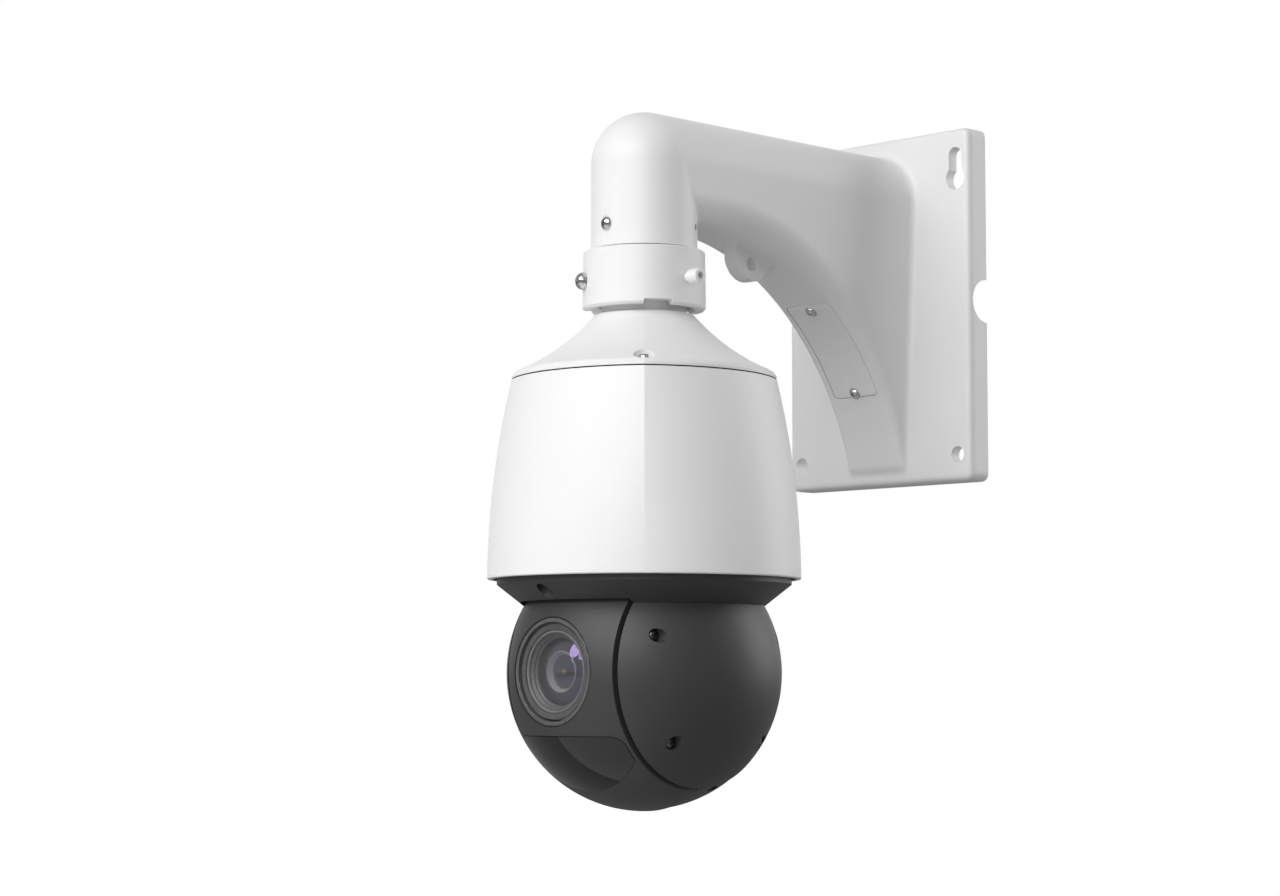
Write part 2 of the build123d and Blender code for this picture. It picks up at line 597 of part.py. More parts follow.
def board(z, holes_az):
    body = Pos(0, 0, z + 0.8) * Cylinder(56, 1.6) - Pos(0, 0, z) * Cylinder(11, 10)
    for az in holes_az:
        body = body - Pos(*polar(az, STANDOFF_R, z)) * Cylinder(1.6, 10)
    return body


def chips(z, places):
    parts = [Pos(x, y, z + h / 2) * Box(w, d, h) for x, y, w, d, h in places]
    solid = parts[0]
    for chip in parts[1:]:
        solid = solid + chip
    return solid


def main_board():
    z = MAIN_BOARD_Z
    places = [(30, 20, 18, 18, 2), (-28, 18, 12, 20, 2.5), (0, -34, 26, 10, 4)]
    return board(z, STANDOFF_AZ) + chips(z + 1.5, places)


def power_board():
    z = POWER_BOARD_Z
    places = [(-26, -20, 20, 16, 7), (28, -14, 12, 12, 6), (0, 36, 30, 9, 5)]
    return board(z, STANDOFF_AZ) + chips(z + 1.5, places)


def board_standoffs():
    """Pillars from the base plate to both boards."""
    def pillar(az):
        x, y, _ = polar(az, STANDOFF_R, 0)
        low = Pos(x, y, (BASE_Z + BASE_T + MAIN_BOARD_Z) / 2) * Cylinder(2.4, MAIN_BOARD_Z - BASE_Z - BASE_T)
        mid_z = MAIN_BOARD_Z + 1.6
        mid = Pos(x, y, (mid_z + POWER_BOARD_Z) / 2) * Cylinder(2.4, POWER_BOARD_Z - mid_z)
        core_l = POWER_BOARD_Z - MAIN_BOARD_Z + 4
        core = Pos(x, y, MAIN_BOARD_Z + core_l / 2) * Cylinder(1.5, core_l)
        return low + mid + core
    return group(pillar(az) for az in STANDOFF_AZ)


def power_cable():
    """Cable from the power board through neck and arm to the wall."""
    path = Spline((0, 0, POWER_BOARD_Z + 3), (0, 0, 205), (0, 0, 262), (0, 28, 289), (0, 110, 284),
                  (0, REACH - 2, PLATE_Z + 8), tangents=[(0, 0, 1), (0, 1, 0)])
    start = Plane(origin=path @ 0, z_dir=path % 0)
    return sweep(start * Circle(3.6), path)


# ---------------------------------------------------------------- pan yoke and skirt
def skirt_spots(z):
    return [polar(az, SKIRT_SCREW_R, z) for az in (0, 180)]


def yoke_arm(side):
    """Side arm: a round plate at the tilt axis and a strap up to the disc."""
    x0, x1 = sorted((side * ARM_X0, side * ARM_X1))
    plate = rod(YOKE_PLATE_R, (x0, 0, 0), (1, 0, 0), x1 - x0) & block(x0, x1, -60, 60, -60, 34)
    plate = plate + block(x0, x1, -34, 34, 20, YOKE_Z + 1)
    plate = plate - rod(TILT_BEARING_OD, (x0 - 1, 0, 0), (1, 0, 0), 10)
    for y, z in CHEEK_SCREWS:
        plate = plate - rod(1.3, (x0 - 1, y, z), (1, 0, 0), 10)
    return plate


def pan_yoke():
    """Top disc with two side arms that hold the tilt bearings and the cheeks."""
    body = Pos(0, 0, YOKE_Z + YOKE_T / 2) * Cylinder(YOKE_R, YOKE_T)
    body = body - Pos(0, 0, YOKE_Z) * Cylinder(PAN_BEARING_ID, 20)
    for x, y, _ in skirt_spots(0):
        post = Pos(x, y, (SKIRT_TOP_Z + YOKE_Z) / 2 + 1) * Cylinder(3.0, YOKE_Z - SKIRT_TOP_Z + 2)
        body = body + post - Pos(x, y, SKIRT_TOP_Z) * Cylinder(1.4, 20)
    return body + yoke_arm(-1) + yoke_arm(1) + tilt_motor_mount()


def pan_skirt():
    """Dark ring under the shroud: short wall, cone, and two inner lugs for its screws."""
    slope = (SKIRT_R - SKIRT_LOW_R) / (SKIRT_EDGE_Z - SKIRT_LOW_Z)
    w = SKIRT_WALL
    inner_low_z = SKIRT_EDGE_Z + w - (SKIRT_R - w - SKIRT_LOW_R) / slope
    body = turned([
        (SKIRT_R, SKIRT_EDGE_Z), (SKIRT_R, SKIRT_TOP_Z), (SKIRT_R - w, SKIRT_TOP_Z),
        (SKIRT_R - w, SKIRT_EDGE_Z + w), (SKIRT_LOW_R, inner_low_z), (SKIRT_LOW_R, SKIRT_LOW_Z)])
    solid_cone = turned([(0, SKIRT_LOW_Z), (SKIRT_LOW_R, SKIRT_LOW_Z), (SKIRT_R, SKIRT_EDGE_Z),
                         (SKIRT_R, SKIRT_TOP_Z), (0, SKIRT_TOP_Z)])
    for x, y, _ in skirt_spots(0):
        lug_top = block(-9, 9, min(y * 0.9, y * 1.08), max(y * 0.9, y * 1.08), SKIRT_TOP_Z - 2.5, SKIRT_TOP_Z)
        well = Pos(x, y, 50) * Cylinder(SKIRT_BORE_R + 1.6, 40)
        body = body + (solid_cone & (lug_top + well))
    opening = Sphere(SKIRT_CLEAR_R) & block(-CHEEK_X, CHEEK_X, -90, 90, 0, 60)
    body = body - opening
    for x, y, _ in skirt_spots(0):
        body = body - Pos(x, y, (SKIRT_TOP_Z - 2.5) / 2) * Cylinder(SKIRT_BORE_R, SKIRT_TOP_Z - 2.5)
        body = body - Pos(x, y, SKIRT_TOP_Z) * Cylinder(1.7, 20)
    return body


def skirt_screws():
    return group(facing((x, y, SKIRT_TOP_Z - 2.5), (0, 0, -1)) * pan_screw(2.8, 2.0, 1.3, 12)
                 for x, y, _ in skirt_spots(0))


# ---------------------------------------------------------------- cheeks
def right_cheek():
    """Side cover of the ball with a flat inner rim and four screw wells."""
    below = block(CHEEK_X, 90, -90, 90, -90, CHEEK_TOP_Z)
    ball = Sphere(BALL_R)
    shell = (ball - Sphere(BALL_R - BALL_WALL)) & below
    rim_r = sqrt(BALL_R ** 2 - CHEEK_X ** 2)
    rim = rod(rim_r, (CHEEK_X, 0, 0), (1, 0, 0), 2.2) - rod(rim_r - 8, (CHEEK_X - 1, 0, 0), (1, 0, 0), 5)
    body = shell + (rim & ball & below)
    for y, z in CHEEK_SCREWS:
        body = body + (rod(5.6, (ARM_X1, y, z), (1, 0, 0), 30) & ball)
    # inside faces that must clear the yoke's arm
    body = body - (rod(YOKE_PLATE_R + 0.5, (ARM_X0 - 0.3, 0, 0), (1, 0, 0), ARM_X1 - ARM_X0 + 0.3)
                   & block(0, 90, -60, 60, -90, 90))
    body = body - block(ARM_X0 - 0.3, ARM_X1, -34.5, 34.5, 18, 60)
    for y, z in CHEEK_SCREWS:
        body = body - rod(CHEEK_RECESS_R, (ARM_X1 + 2.6, y, z), (1, 0, 0), 30)
        body = body - rod(1.7, (ARM_X1 - 1, y, z), (1, 0, 0), 10)
    return body


def left_cheek():
    return mirror(right_cheek(), Plane.YZ)


def cheek_screws():
    head_x = ARM_X1 + 2.6
    return group(facing((side * head_x, y, z), (side, 0, 0)) * pan_screw(2.9, 2.0, 1.25, 7)
                 for side in (-1, 1) for y, z in CHEEK_SCREWS)


# ---------------------------------------------------------------- tilt bearings and drive
def tilt_bearing_outer():
    def one(side):
        x0 = side * ARM_X0 if side > 0 else -ARM_X1
        return tube_x(TILT_BEARING_OD, 9.6, x0, x0 + ARM_X1 - ARM_X0)
    return group(one(side) for side in (-1, 1))


def tilt_bearing_inner():
    """Inner rings, running in the outer rings."""
    def one(side):
        x0 = side * ARM_X0 if side > 0 else -ARM_X1
        return tube_x(9.6 - RUN_GAP, TILT_BEARING_ID, x0, x0 + ARM_X1 - ARM_X0)
    return group(one(side) for side in (-1, 1))


def tilt_hubs():
    """Flanged stub shafts on the chassis' sides."""
    def one(side):
        flange = rod(13, (side * CHASSIS_X, 0, 0), (side, 0, 0), 3)
        shaft = rod(TILT_BEARING_ID, (side * CHASSIS_X, 0, 0), (side, 0, 0), BELT_X0 + 6 - CHASSIS_X)
        shoulder = rod(8, (side * CHASSIS_X, 0, 0), (side, 0, 0), ARM_X0 - CHASSIS_X)
        return flange + shaft + shoulder
    return group(one(side) for side in (-1, 1))


def tilt_pulley():
    return tube_x(TILT_PULLEY_R, TILT_BEARING_ID, BELT_X0 - 0.6, BELT_X0 + BELT_W + 0.6)


def tilt_motor():
    body = rod(12.5, (BELT_X0 + 8, 0, TILT_MOTOR_Z), (1, 0, 0), 13)
    return body - rod(2 + RUN_GAP, (BELT_X0 + 7, 0, TILT_MOTOR_Z), (1, 0, 0), 11)


def tilt_motor_mount():
    """Plate on two posts that carries the tilt motor outside the belt."""
    x1 = BELT_X0 + 8
    plate = block(x1 - 2, x1, -14, 14, TILT_MOTOR_Z - 13, YOKE_Z + 1)
    posts = [rod(2.6, (ARM_X1, y, TILT_MOTOR_Z + 14), (1, 0, 0), x1 - 1 - ARM_X1) for y in (-10, 10)]
    return plate + posts[0] + posts[1] - rod(4, (x1 - 5, 0, TILT_MOTOR_Z), (1, 0, 0), 8)


def tilt_motor_pulley():
    wheel = rod(TILT_SMALL_R, (BELT_X0 - 0.4, 0, TILT_MOTOR_Z), (1, 0, 0), BELT_W + 0.8)
    return wheel + rod(2, (BELT_X0 - 0.4, 0, TILT_MOTOR_Z), (1, 0, 0), 17)


def tilt_belt():
    place = Plane(origin=(BELT_X0, 0, 0), x_dir=(0, 0, 1), z_dir=(1, 0, 0)).location
    return place * belt_loop(TILT_PULLEY_R, TILT_SMALL_R, TILT_MOTOR_Z)


# ---------------------------------------------------------------- tilting module
def band(r, half_x, wall):
    """Hollow slice of a ball about the X axis, with flat sides and round hub holes."""
    def outline(radius, x):
        rim = sqrt(radius ** 2 - x ** 2)
        edges = ThreePointArc((-x, 0, rim), (0, 0, radius), (x, 0, rim)) + Polyline(
            [(x, 0, rim), (x, 0, 0), (-x, 0, 0), (-x, 0, rim)])
        return revolve(make_face(edges), Axis.X, 360)
    body = outline(r, half_x) - outline(r - wall, half_x - wall)
    return body - rod(HUB_HOLE_R, (-90, 0, 0), (1, 0, 0), 180)


def ir_region(grow, r0, r1):
    """Rounded patch of the ball's skin below the lens, from radius r0 to r1."""
    half_x = IR_HALF_X + grow
    top = IR_TOP_Z + grow
    low = -90
    patch = block(-half_x, half_x, -90, 0, low, top)
    upright = ShapeList(e for e in patch.edges().filter_by(Axis.Y) if e.center().Z > top - 1)
    patch = fillet(upright, IR_TOP_CORNER + grow)
    back_top = IR_LOW_Y + grow - IR_LEAN * (top - IR_LOW_Z)
    back_low = IR_LOW_Y + grow - IR_LEAN * (low - IR_LOW_Z)
    corners = [(0, 1, top + 1), (0, back_top, top + 1), (0, back_low, low - 1), (0, 1, low - 1)]
    behind = Polyline(corners, close=True)
    patch = patch - extrude(make_face(behind), half_x + 1, dir=(1, 0, 0), both=True)
    return (Sphere(r1) - Sphere(r0)) & patch


def front_shell():
    body = band(BALL_R, FRONT_X, BALL_WALL) & block(-90, 90, -90, -PRINT_GAP / 2, -90, 90)
    collar = rod(BEZEL_R + 3, (0, WINDOW_Y + 9, 0), (0, -1, 0), 12)
    collar = collar - rod(24, (0, WINDOW_Y + 12, 0), (0, -1, 0), 30)
    body = body + (collar & Sphere(BALL_R))
    body = body - rod(90, (0, WINDOW_Y, 0), (0, -1, 0), 30)
    body = body - rod(BEZEL_R, (0, WINDOW_Y + WINDOW_T + 0.1, 0), (0, -1, 0), 30)
    body = body - rod(BEZEL_R - 3, (0, WINDOW_Y + 20, 0), (0, -1, 0), 30)
    body = body - ir_region(IR_GAP, BALL_R - IR_T - 0.05, BALL_R + 3)
    return body - ir_region(-3.0, BALL_R - 8, BALL_R)


def rear_shell():
    r = BALL_R - REAR_SINK
    body = band(r, REAR_X, BALL_WALL) & block(-90, 90, PRINT_GAP / 2, 90, -90, 90)
    for x, y, z, n in rear_screw_spots():
        well = rod(5, (x, y, z), [-c for c in n], 14)
        body = body + (well & rod(r, (-REAR_X, 0, 0), (1, 0, 0), 2 * REAR_X) & Sphere(r))
        body = body - rod(3.6, (x, y, z), [-c for c in n], REAR_WELL)
        body = body - rod(1.7, (x, y, z), [-c for c in n], 20)
    return body - block(-10, 10, 30, 90, 40, 56)


def rear_screw_spots():
    """Places on the rear shell's skin and their outward directions."""
    r = BALL_R - REAR_SINK
    spots = []
    for x, y, z_sign in ((37, 15, -1), (-37, 15, -1), (31, 52, 1), (-31, 52, 1)):
        z = z_sign * sqrt(r * r - x * x - y * y)
        spots.append((x, y, z, (0, y / hypot(y, z), z / hypot(y, z))))
    return spots


def rear_shell_screws():
    return group(facing((x, y - n[1] * REAR_WELL, z - n[2] * REAR_WELL), n) * pan_screw(2.9, 2.0, 1.3, 8)
                 for x, y, z, n in rear_screw_spots())


def lens_window():
    pane = rod(WINDOW_R, (0, WINDOW_Y + WINDOW_T, 0), (0, -1, 0), WINDOW_T)
    return pane


def window_gasket():
    outer = rod(BEZEL_R - 0.02, (0, WINDOW_Y + WINDOW_T, 0), (0, -1, 0), WINDOW_T - 0.15)
    return outer - rod(WINDOW_R, (0, WINDOW_Y + WINDOW_T + 1, 0), (0, -1, 0), 9)


def ir_window():
    return ir_region(0, BALL_R - IR_T, BALL_R)


def tilt_chassis():
    """Two side plates joined by a back plate and a floor."""
    body = None
    for side in (-1, 1):
        x0, x1 = sorted((side * (CHASSIS_X - 2.5), side * CHASSIS_X))
        plate = rod(50, (x0, 0, 0), (1, 0, 0), x1 - x0) & block(x0, x1, -34, 44, -27, 46)
        body = plate if body is None else body + plate
    back = block(-CHASSIS_X + 1, CHASSIS_X - 1, 41.5, 44, -18, 18)
    floor = block(-CHASSIS_X + 1, CHASSIS_X - 1, -30, 40, -27, -24.5)
    return body + back + floor


def zoom_housing():
    body = block(-23, 23, -30, 30, -24, 24)
    body = fillet(body.edges().filter_by(Axis.Y), 3)
    bore = rod(BARREL_REAR_R + RUN_GAP, (0, -31, 0), (0, 1, 0), 62)
    return body - bore


def lens_barrel():
    """Stepped barrel: wide hood with ridged rings in front, guide tube behind."""
    y0 = WINDOW_Y + WINDOW_T + 2.2
    outline = [(26, y0), (26, -31), (BARREL_REAR_R, -31), (BARREL_REAR_R, 25), (BARREL_BORE_R, 25),
               (BARREL_BORE_R, -40), (16.5, -40), (16.5, y0 + 7), (19, y0 + 7), (19, y0 + 4.5),
               (21.5, y0 + 4.5), (21.5, y0 + 2), (24, y0 + 2), (24, y0)]
    face = make_face(Polyline([(r, y, 0) for r, y in outline], close=True))
    return revolve(face, Axis.Y, 360)


def front_lens():
    """Thick glass whose front is part of a large ball."""
    y0 = WINDOW_Y + WINDOW_T + 9
    pane = rod(16.4, (0, y0 + 7, 0), (0, -1, 0), 12)
    return pane & Pos(0, y0 + 38, 0) * Sphere(38)


def lens_group(y0, length):
    """Lens in its sliding carrier ring: one moulded piece that fits the guide tube."""
    r = BARREL_BORE_R - RUN_GAP
    body = rod(r, (0, y0, 0), (0, 1, 0), length)
    body = body - rod(r - 3, (0, y0 - 1, 0), (0, 1, 0), 2.5)
    return body - rod(r - 3, (0, y0 + length + 1, 0), (0, -1, 0), 2.5)


def zoom_group():
    return lens_group(-34, 8)


def focus_group():
    return lens_group(-2, 7)


def sensor_board():
    plate = block(-19, 19, 30, 31.6, -19, 19)
    chip = block(-6, 6, 26.5, 30, -5, 5)
    return plate + chip


def ir_frame():
    """Plane of the infrared board: behind the window and square to it."""
    return Plane(origin=(0, -45.5, -45.5), x_dir=(1, 0, 0), z_dir=(0, -1, -1))


def ir_board():
    return ir_frame().location * Pos(0, 0, 0.8) * Box(58, 22, 1.6)


def ir_leds():
    """Domed emitters on the infrared board."""
    led = Pos(0, 0, 0.75) * Box(6, 6, 1.5) + (Pos(0, 0, 1.5) * Sphere(2.6) & Pos(0, 0, 4) * Box(9, 9, 5.2))
    return group(ir_frame().location * Pos(x, y, 1.6) * led for x in (-22, -11, 0, 11, 22) for y in (-5, 5))


PARTS = {
    "wall_bracket": wall_bracket, "access_cover": access_cover, "cover_gasket": cover_gasket,
    "cover_screws": cover_screws, "tube_lock_screw": tube_lock_screw, "tube_set_screws": tube_set_screws,
    "mount_collar": mount_collar, "collar_cap_screw": collar_cap_screw,
    "collar_pan_screws": collar_pan_screws, "collar_washers": collar_washers, "neck_tube": neck_tube,
    "top_cap": top_cap, "cap_screws": cap_screws, "seam_gasket": seam_gasket,
    "sun_shroud": sun_shroud, "upper_housing": upper_housing, "base_plate": base_plate,
    "base_screws": base_screws, "pan_bearing_outer": pan_bearing_outer,
    "pan_bearing_balls": pan_bearing_balls,
    "main_board": main_board, "power_board": power_board, "board_standoffs": board_standoffs,
    "pan_motor": pan_motor, "pan_belt": pan_belt, "slip_ring_stator": slip_ring_stator,
    "power_cable": power_cable, "pan_motor_pulley": pan_motor_pulley,
    "pan_yoke": pan_yoke, "pan_shaft": pan_shaft, "pan_bearing_inner": pan_bearing_inner,
    "pan_pulley": pan_pulley, "slip_ring_rotor": slip_ring_rotor, "pan_skirt": pan_skirt,
    "skirt_screws": skirt_screws, "right_cheek": right_cheek, "left_cheek": left_cheek,
    "cheek_screws": cheek_screws, "tilt_bearing_outer": tilt_bearing_outer, "tilt_motor": tilt_motor,
    "tilt_belt": tilt_belt, "tilt_motor_pulley": tilt_motor_pulley,
    "tilt_hubs": tilt_hubs, "tilt_bearing_inner": tilt_bearing_inner, "tilt_pulley": tilt_pulley,
    "front_shell": front_shell, "rear_shell": rear_shell, "rear_shell_screws": rear_shell_screws,
    "lens_window": lens_window, "window_gasket": window_gasket, "ir_window": ir_window,
    "tilt_chassis": tilt_chassis, "zoom_housing": zoom_housing, "lens_barrel": lens_barrel,
    "front_lens": front_lens, "zoom_group": zoom_group, "focus_group": focus_group,
    "sensor_board": sensor_board, "ir_board": ir_board, "ir_leds": ir_leds,
}

os.makedirs("parts", exist_ok=True)
for part_name, make in PARTS.items():
    write(make(), part_name)
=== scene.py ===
import bpy
import bmesh
import json
import numpy as np
from math import acos, asin, cos, degrees, pi, radians, sin, tan
from mathutils import Matrix, Vector


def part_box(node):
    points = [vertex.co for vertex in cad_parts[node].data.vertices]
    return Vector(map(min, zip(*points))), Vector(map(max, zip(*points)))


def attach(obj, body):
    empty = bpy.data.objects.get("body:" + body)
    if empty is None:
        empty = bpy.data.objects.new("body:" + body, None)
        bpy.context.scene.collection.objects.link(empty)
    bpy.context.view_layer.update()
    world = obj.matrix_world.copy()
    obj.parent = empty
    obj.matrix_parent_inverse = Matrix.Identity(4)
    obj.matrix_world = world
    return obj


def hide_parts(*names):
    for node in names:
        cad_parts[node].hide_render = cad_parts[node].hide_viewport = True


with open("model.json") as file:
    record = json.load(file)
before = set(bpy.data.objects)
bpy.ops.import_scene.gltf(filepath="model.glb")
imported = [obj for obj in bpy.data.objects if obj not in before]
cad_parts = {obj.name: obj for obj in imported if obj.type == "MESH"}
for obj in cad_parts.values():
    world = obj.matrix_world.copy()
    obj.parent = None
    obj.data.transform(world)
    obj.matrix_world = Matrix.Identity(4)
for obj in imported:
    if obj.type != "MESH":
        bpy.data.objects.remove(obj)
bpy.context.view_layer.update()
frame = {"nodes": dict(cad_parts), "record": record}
nodes = frame["nodes"]

# The pan axis runs down the middle of the neck; the tilt axis runs through the hubs.
neck_low, neck_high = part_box("neck_tube")
hub_low, hub_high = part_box("tilt_hubs")
HEAD = Vector((0.0, (neck_low.y + neck_high.y) / 2, (hub_low.z + hub_high.z) / 2))
MM = 0.001


# ---------------------------------------------------------------- node helpers
class Shader:
    """Small builder for a material's node tree."""

    def __init__(self, name):
        self.material = bpy.data.materials.new(name)
        self.material.use_nodes = True
        self.tree = self.material.node_tree
        self.tree.nodes.clear()
        self.out = self.add("ShaderNodeOutputMaterial")
        self.coord = self.add("ShaderNodeTexCoord").outputs["Object"]

    def add(self, kind, **values):
        node = self.tree.nodes.new(kind)
        for key, value in values.items():
            setattr(node, key, value)
        return node

    def link(self, source, node, socket):
        self.tree.links.new(source, node.inputs[socket])

    def noise(self, scale, detail=2.0, rough=0.5):
        node = self.add("ShaderNodeTexNoise")
        node.inputs["Scale"].default_value = scale
        node.inputs["Detail"].default_value = detail
        node.inputs["Roughness"].default_value = rough
        self.link(self.coord, node, "Vector")
        return node.outputs["Fac"]

    def remap(self, source, low, high):
        """Spread the middle of a noise's range over low to high."""
        node = self.add("ShaderNodeMapRange")
        for i, value in enumerate((0.3, 0.7, low, high)):
            node.inputs[i + 1].default_value = value
        self.link(source, node, 0)
        return node.outputs[0]

    def mix(self, factor, a, b):
        """Blend two colours, which sit in the node's sockets 6 and 7."""
        node = self.add("ShaderNodeMix", data_type="RGBA")
        self.link(factor, node, 0)
        node.inputs[6].default_value = (*a, 1)
        node.inputs[7].default_value = (*b, 1)
        return node.outputs[2]

    def bump(self, height, distance, strength, normal=None):
        node = self.add("ShaderNodeBump")
        node.inputs["Distance"].default_value = distance
        node.inputs["Strength"].default_value = strength
        self.link(height, node, "Height")
        if normal is not None:
            self.link(normal, node, "Normal")
        return node.outputs["Normal"]

    def principled(self, **values):
        node = self.add("ShaderNodeBsdfPrincipled")
        for key, value in values.items():
            node.inputs[key.replace("_", " ")].default_value = value
        self.link(node.outputs[0], self.out, "Surface")
        return node


def coat(name, light, dark, roughness, grain, depth):
    """Moulded or sprayed finish: fine grain, a soft orange peel and a slow change of tone."""
    s = Shader(name)
    body = s.principled()
    s.link(s.mix(s.remap(s.noise(14, 3), 0, 1), dark, light), body, "Base Color")
    fine = s.noise(grain, 3, 0.6)
    s.link(s.remap(fine, roughness - 0.05, roughness + 0.05), body, "Roughness")
    peel = s.bump(s.noise(grain * 0.22, 1), depth * 2.0, 0.35)
    s.link(s.bump(fine, depth, 0.8, peel), body, "Normal")
    return s.material


def metal(name, color, roughness, grain=1500):
    """Bare or plated metal with slow stains and a fine grain."""
    s = Shader(name)
    body = s.principled(Metallic=1.0)
    dull = tuple(c * 0.82 for c in color)
    s.link(s.mix(s.remap(s.noise(260, 3), 0, 1), dull, color), body, "Base Color")
    s.link(s.remap(s.noise(grain, 3), roughness * 0.8, roughness * 1.25), body, "Roughness")
    s.link(s.bump(s.noise(grain, 2), 0.000004, 0.6), body, "Normal")
    return s.material


white = coat("white_coat", (0.83, 0.83, 0.835), (0.81, 0.81, 0.815), 0.45, 2400, 0.00003)
charcoal = coat("dark_shell", (0.040, 0.0405, 0.041), (0.036, 0.0365, 0.037), 0.5, 2600, 0.00003)
rubber = coat("rubber", (0.018, 0.018, 0.018), (0.012, 0.012, 0.012), 0.7, 1800, 0.00003)
seal = coat("seal", (0.004, 0.004, 0.004), (0.003, 0.003, 0.003), 0.8, 1800, 0.00001)
black = coat("black_plastic", (0.028, 0.028, 0.028), (0.022, 0.022, 0.022), 0.35, 2600, 0.00001)
steel = metal("steel", (0.72, 0.72, 0.73), 0.14)
casting = metal("die_cast", (0.55, 0.56, 0.57), 0.42, 900)
turned_metal = metal("drive_metal", (0.70, 0.70, 0.71), 0.25)
motor_paint = coat("motor_case", (0.11, 0.11, 0.12), (0.09, 0.09, 0.10), 0.4, 1500, 0.00002)
board_green = coat("circuit_board", (0.02, 0.15, 0.07), (0.015, 0.11, 0.05), 0.35, 600, 0.00002)
brass = metal("brass_pillar", (0.75, 0.58, 0.28), 0.25)
led_epoxy = coat("led_epoxy", (0.75, 0.77, 0.75), (0.68, 0.70, 0.68), 0.15, 500, 0.00001)


def glass(name, ior=1.5, sheen=(1, 1, 1)):
    """Clear glass that lets light straight through to what lies behind; sheen tints its reflection."""
    s = Shader(name)
    body = s.principled(Transmission_Weight=1.0, IOR=ior, Roughness=0.0, Specular_Tint=(*sheen, 1))
    s.link(s.mix(s.remap(s.noise(40), 0, 1), (0.98, 0.98, 0.98), (1, 1, 1)), body, "Base Color")
    through = s.add("ShaderNodeBsdfTransparent")
    path = s.add("ShaderNodeLightPath")
    pick = s.add("ShaderNodeMixShader")
    s.link(path.outputs["Is Shadow Ray"], pick, 0)
    s.link(body.outputs[0], pick, 1)
    s.link(through.outputs[0], pick, 2)
    s.link(pick.outputs[0], s.out, "Surface")
    return s.material


clear = glass("clear_glass")
dark_glass = coat("dark_glass", (0.013, 0.013, 0.014), (0.010, 0.010, 0.011), 0.055, 300, 0.0)
# the hood's plastic and the printed border are lighter than their own grey: painted reflection standing in
# for the window's veil from the softboxes hidden from reflections
hood_plastic_and_reflection = coat("hood_plastic_and_reflection", (0.066, 0.066, 0.067), (0.058, 0.058, 0.059), 0.38, 1800, 0.000006)
border_print_and_reflection = coat("border_print_and_reflection", (0.125, 0.125, 0.128), (0.11, 0.11, 0.113), 0.4, 1800, 0.0)
ring_paint = coat("ring_paint", (0.17, 0.17, 0.175), (0.15, 0.15, 0.155), 0.4, 1800, 0.000004)
front_coating = glass("front_element", 1.75, (0.60, 0.42, 1.0))
inner_coating = glass("inner_element", 1.5, (0.45, 0.9, 0.8))
shelf_black = coat("shelf_black", (0.016, 0.017, 0.020), (0.012, 0.012, 0.014), 0.35, 1800, 0.000004)
# steel darkened as painted shade of the recesses that the ball's screws sit in
recess_shade_steel = metal("recess_shade_steel", (0.16, 0.16, 0.165), 0.3)

SLOTS = {"white_coat": white, "dark_shell": charcoal, "steel": steel, "rubber": rubber, "belt_rubber": rubber,
         "die_cast": casting, "drive_metal": turned_metal, "motor_case": motor_paint,
         "circuit_board": board_green, "black_plastic": black, "brass_pillar": brass, "clear_glass": clear,
         "dark_glass": dark_glass, "led_epoxy": led_epoxy}

# nodes whose finish is darker than their slot's; the darker steel of the screws in the ball's recesses is
# painted shade of those recesses
DARKER_FINISH = {"cheek_screws": recess_shade_steel, "rear_shell_screws": recess_shade_steel, "window_gasket": seal}


def paint_cad():
    """Give every carried-over CAD node the darker finish listed for it, or that of its record slot."""
    slot_of = {}
    for sub in frame["record"]["subparts"]:
        slot_of[sub["node"]] = sub.get("material_slot") or sub.get("material")
    for name, obj in nodes.items():
        obj.data.materials.clear()
        obj.data.materials.append(DARKER_FINISH.get(name) or SLOTS[slot_of[name]])


paint_cad()


# ---------------------------------------------------------------- mesh helpers
# Pieces are drawn in millimetres in the head frame: origin where the pan axis crosses the
# tilt axis, lens towards -Y, wall towards +Y. finish_piece() moves them to the CAD's own
# frame, in metres.
SHARP = radians(38)


def finish_piece(name, mesh, material, body, replaces):
    """Make a visible piece of a mesh: place it, paint it, tie it to its body and hide the CAD nodes it
    replaces.
    """
    mesh.transform(Matrix.Translation(HEAD) @ Matrix.Scale(MM, 4))
    mesh.materials.clear()
    mesh.materials.append(material)
    mesh.shade_smooth()
    mesh.set_sharp_from_angle(angle=SHARP)
    obj = bpy.data.objects.new(name, mesh)
    bpy.context.scene.collection.objects.link(obj)
    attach(obj, body)
    if replaces:
        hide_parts(*replaces)


def new_mesh(points, faces):
    """Mesh of points and of faces that list their points."""
    mesh = bpy.data.meshes.new("shape")
    mesh.from_pydata([tuple(p) for p in points], [], [tuple(f) for f in faces])
    mesh.validate()
    return mesh


def facing_out(mesh):
    """The same mesh with every face turned outwards."""
    bm = bmesh.new()
    bm.from_mesh(mesh)
    bmesh.ops.recalc_face_normals(bm, faces=bm.faces)
    bm.to_mesh(mesh)
    bm.free()
    return mesh


def joined(meshes):
    """One mesh from several."""
    bm = bmesh.new()
    for mesh in meshes:
        bm.from_mesh(mesh)
    out = bpy.data.meshes.new("shape")
    bm.to_mesh(out)
    bm.free()
    return out


def placed(mesh, matrix):
    """A moved copy of a mesh."""
    copy = mesh.copy()
    copy.transform(matrix)
    return copy


def carved(mesh, cutters):
    """mesh less each cutter mesh."""
    base = bpy.data.objects.new("base", mesh)
    bpy.context.scene.collection.objects.link(base)
    tools = []
    for cutter in cutters:
        tool = bpy.data.objects.new("tool", cutter)
        bpy.context.scene.collection.objects.link(tool)
        tools.append(tool)
        step = base.modifiers.new("step", "BOOLEAN")
        step.operation = "DIFFERENCE"
        step.solver = "MANIFOLD"
        step.object = tool
    graph = bpy.context.evaluated_depsgraph_get()
    out = bpy.data.meshes.new_from_object(base.evaluated_get(graph))
    for obj in [base] + tools:
        bpy.data.objects.remove(obj)
    return out


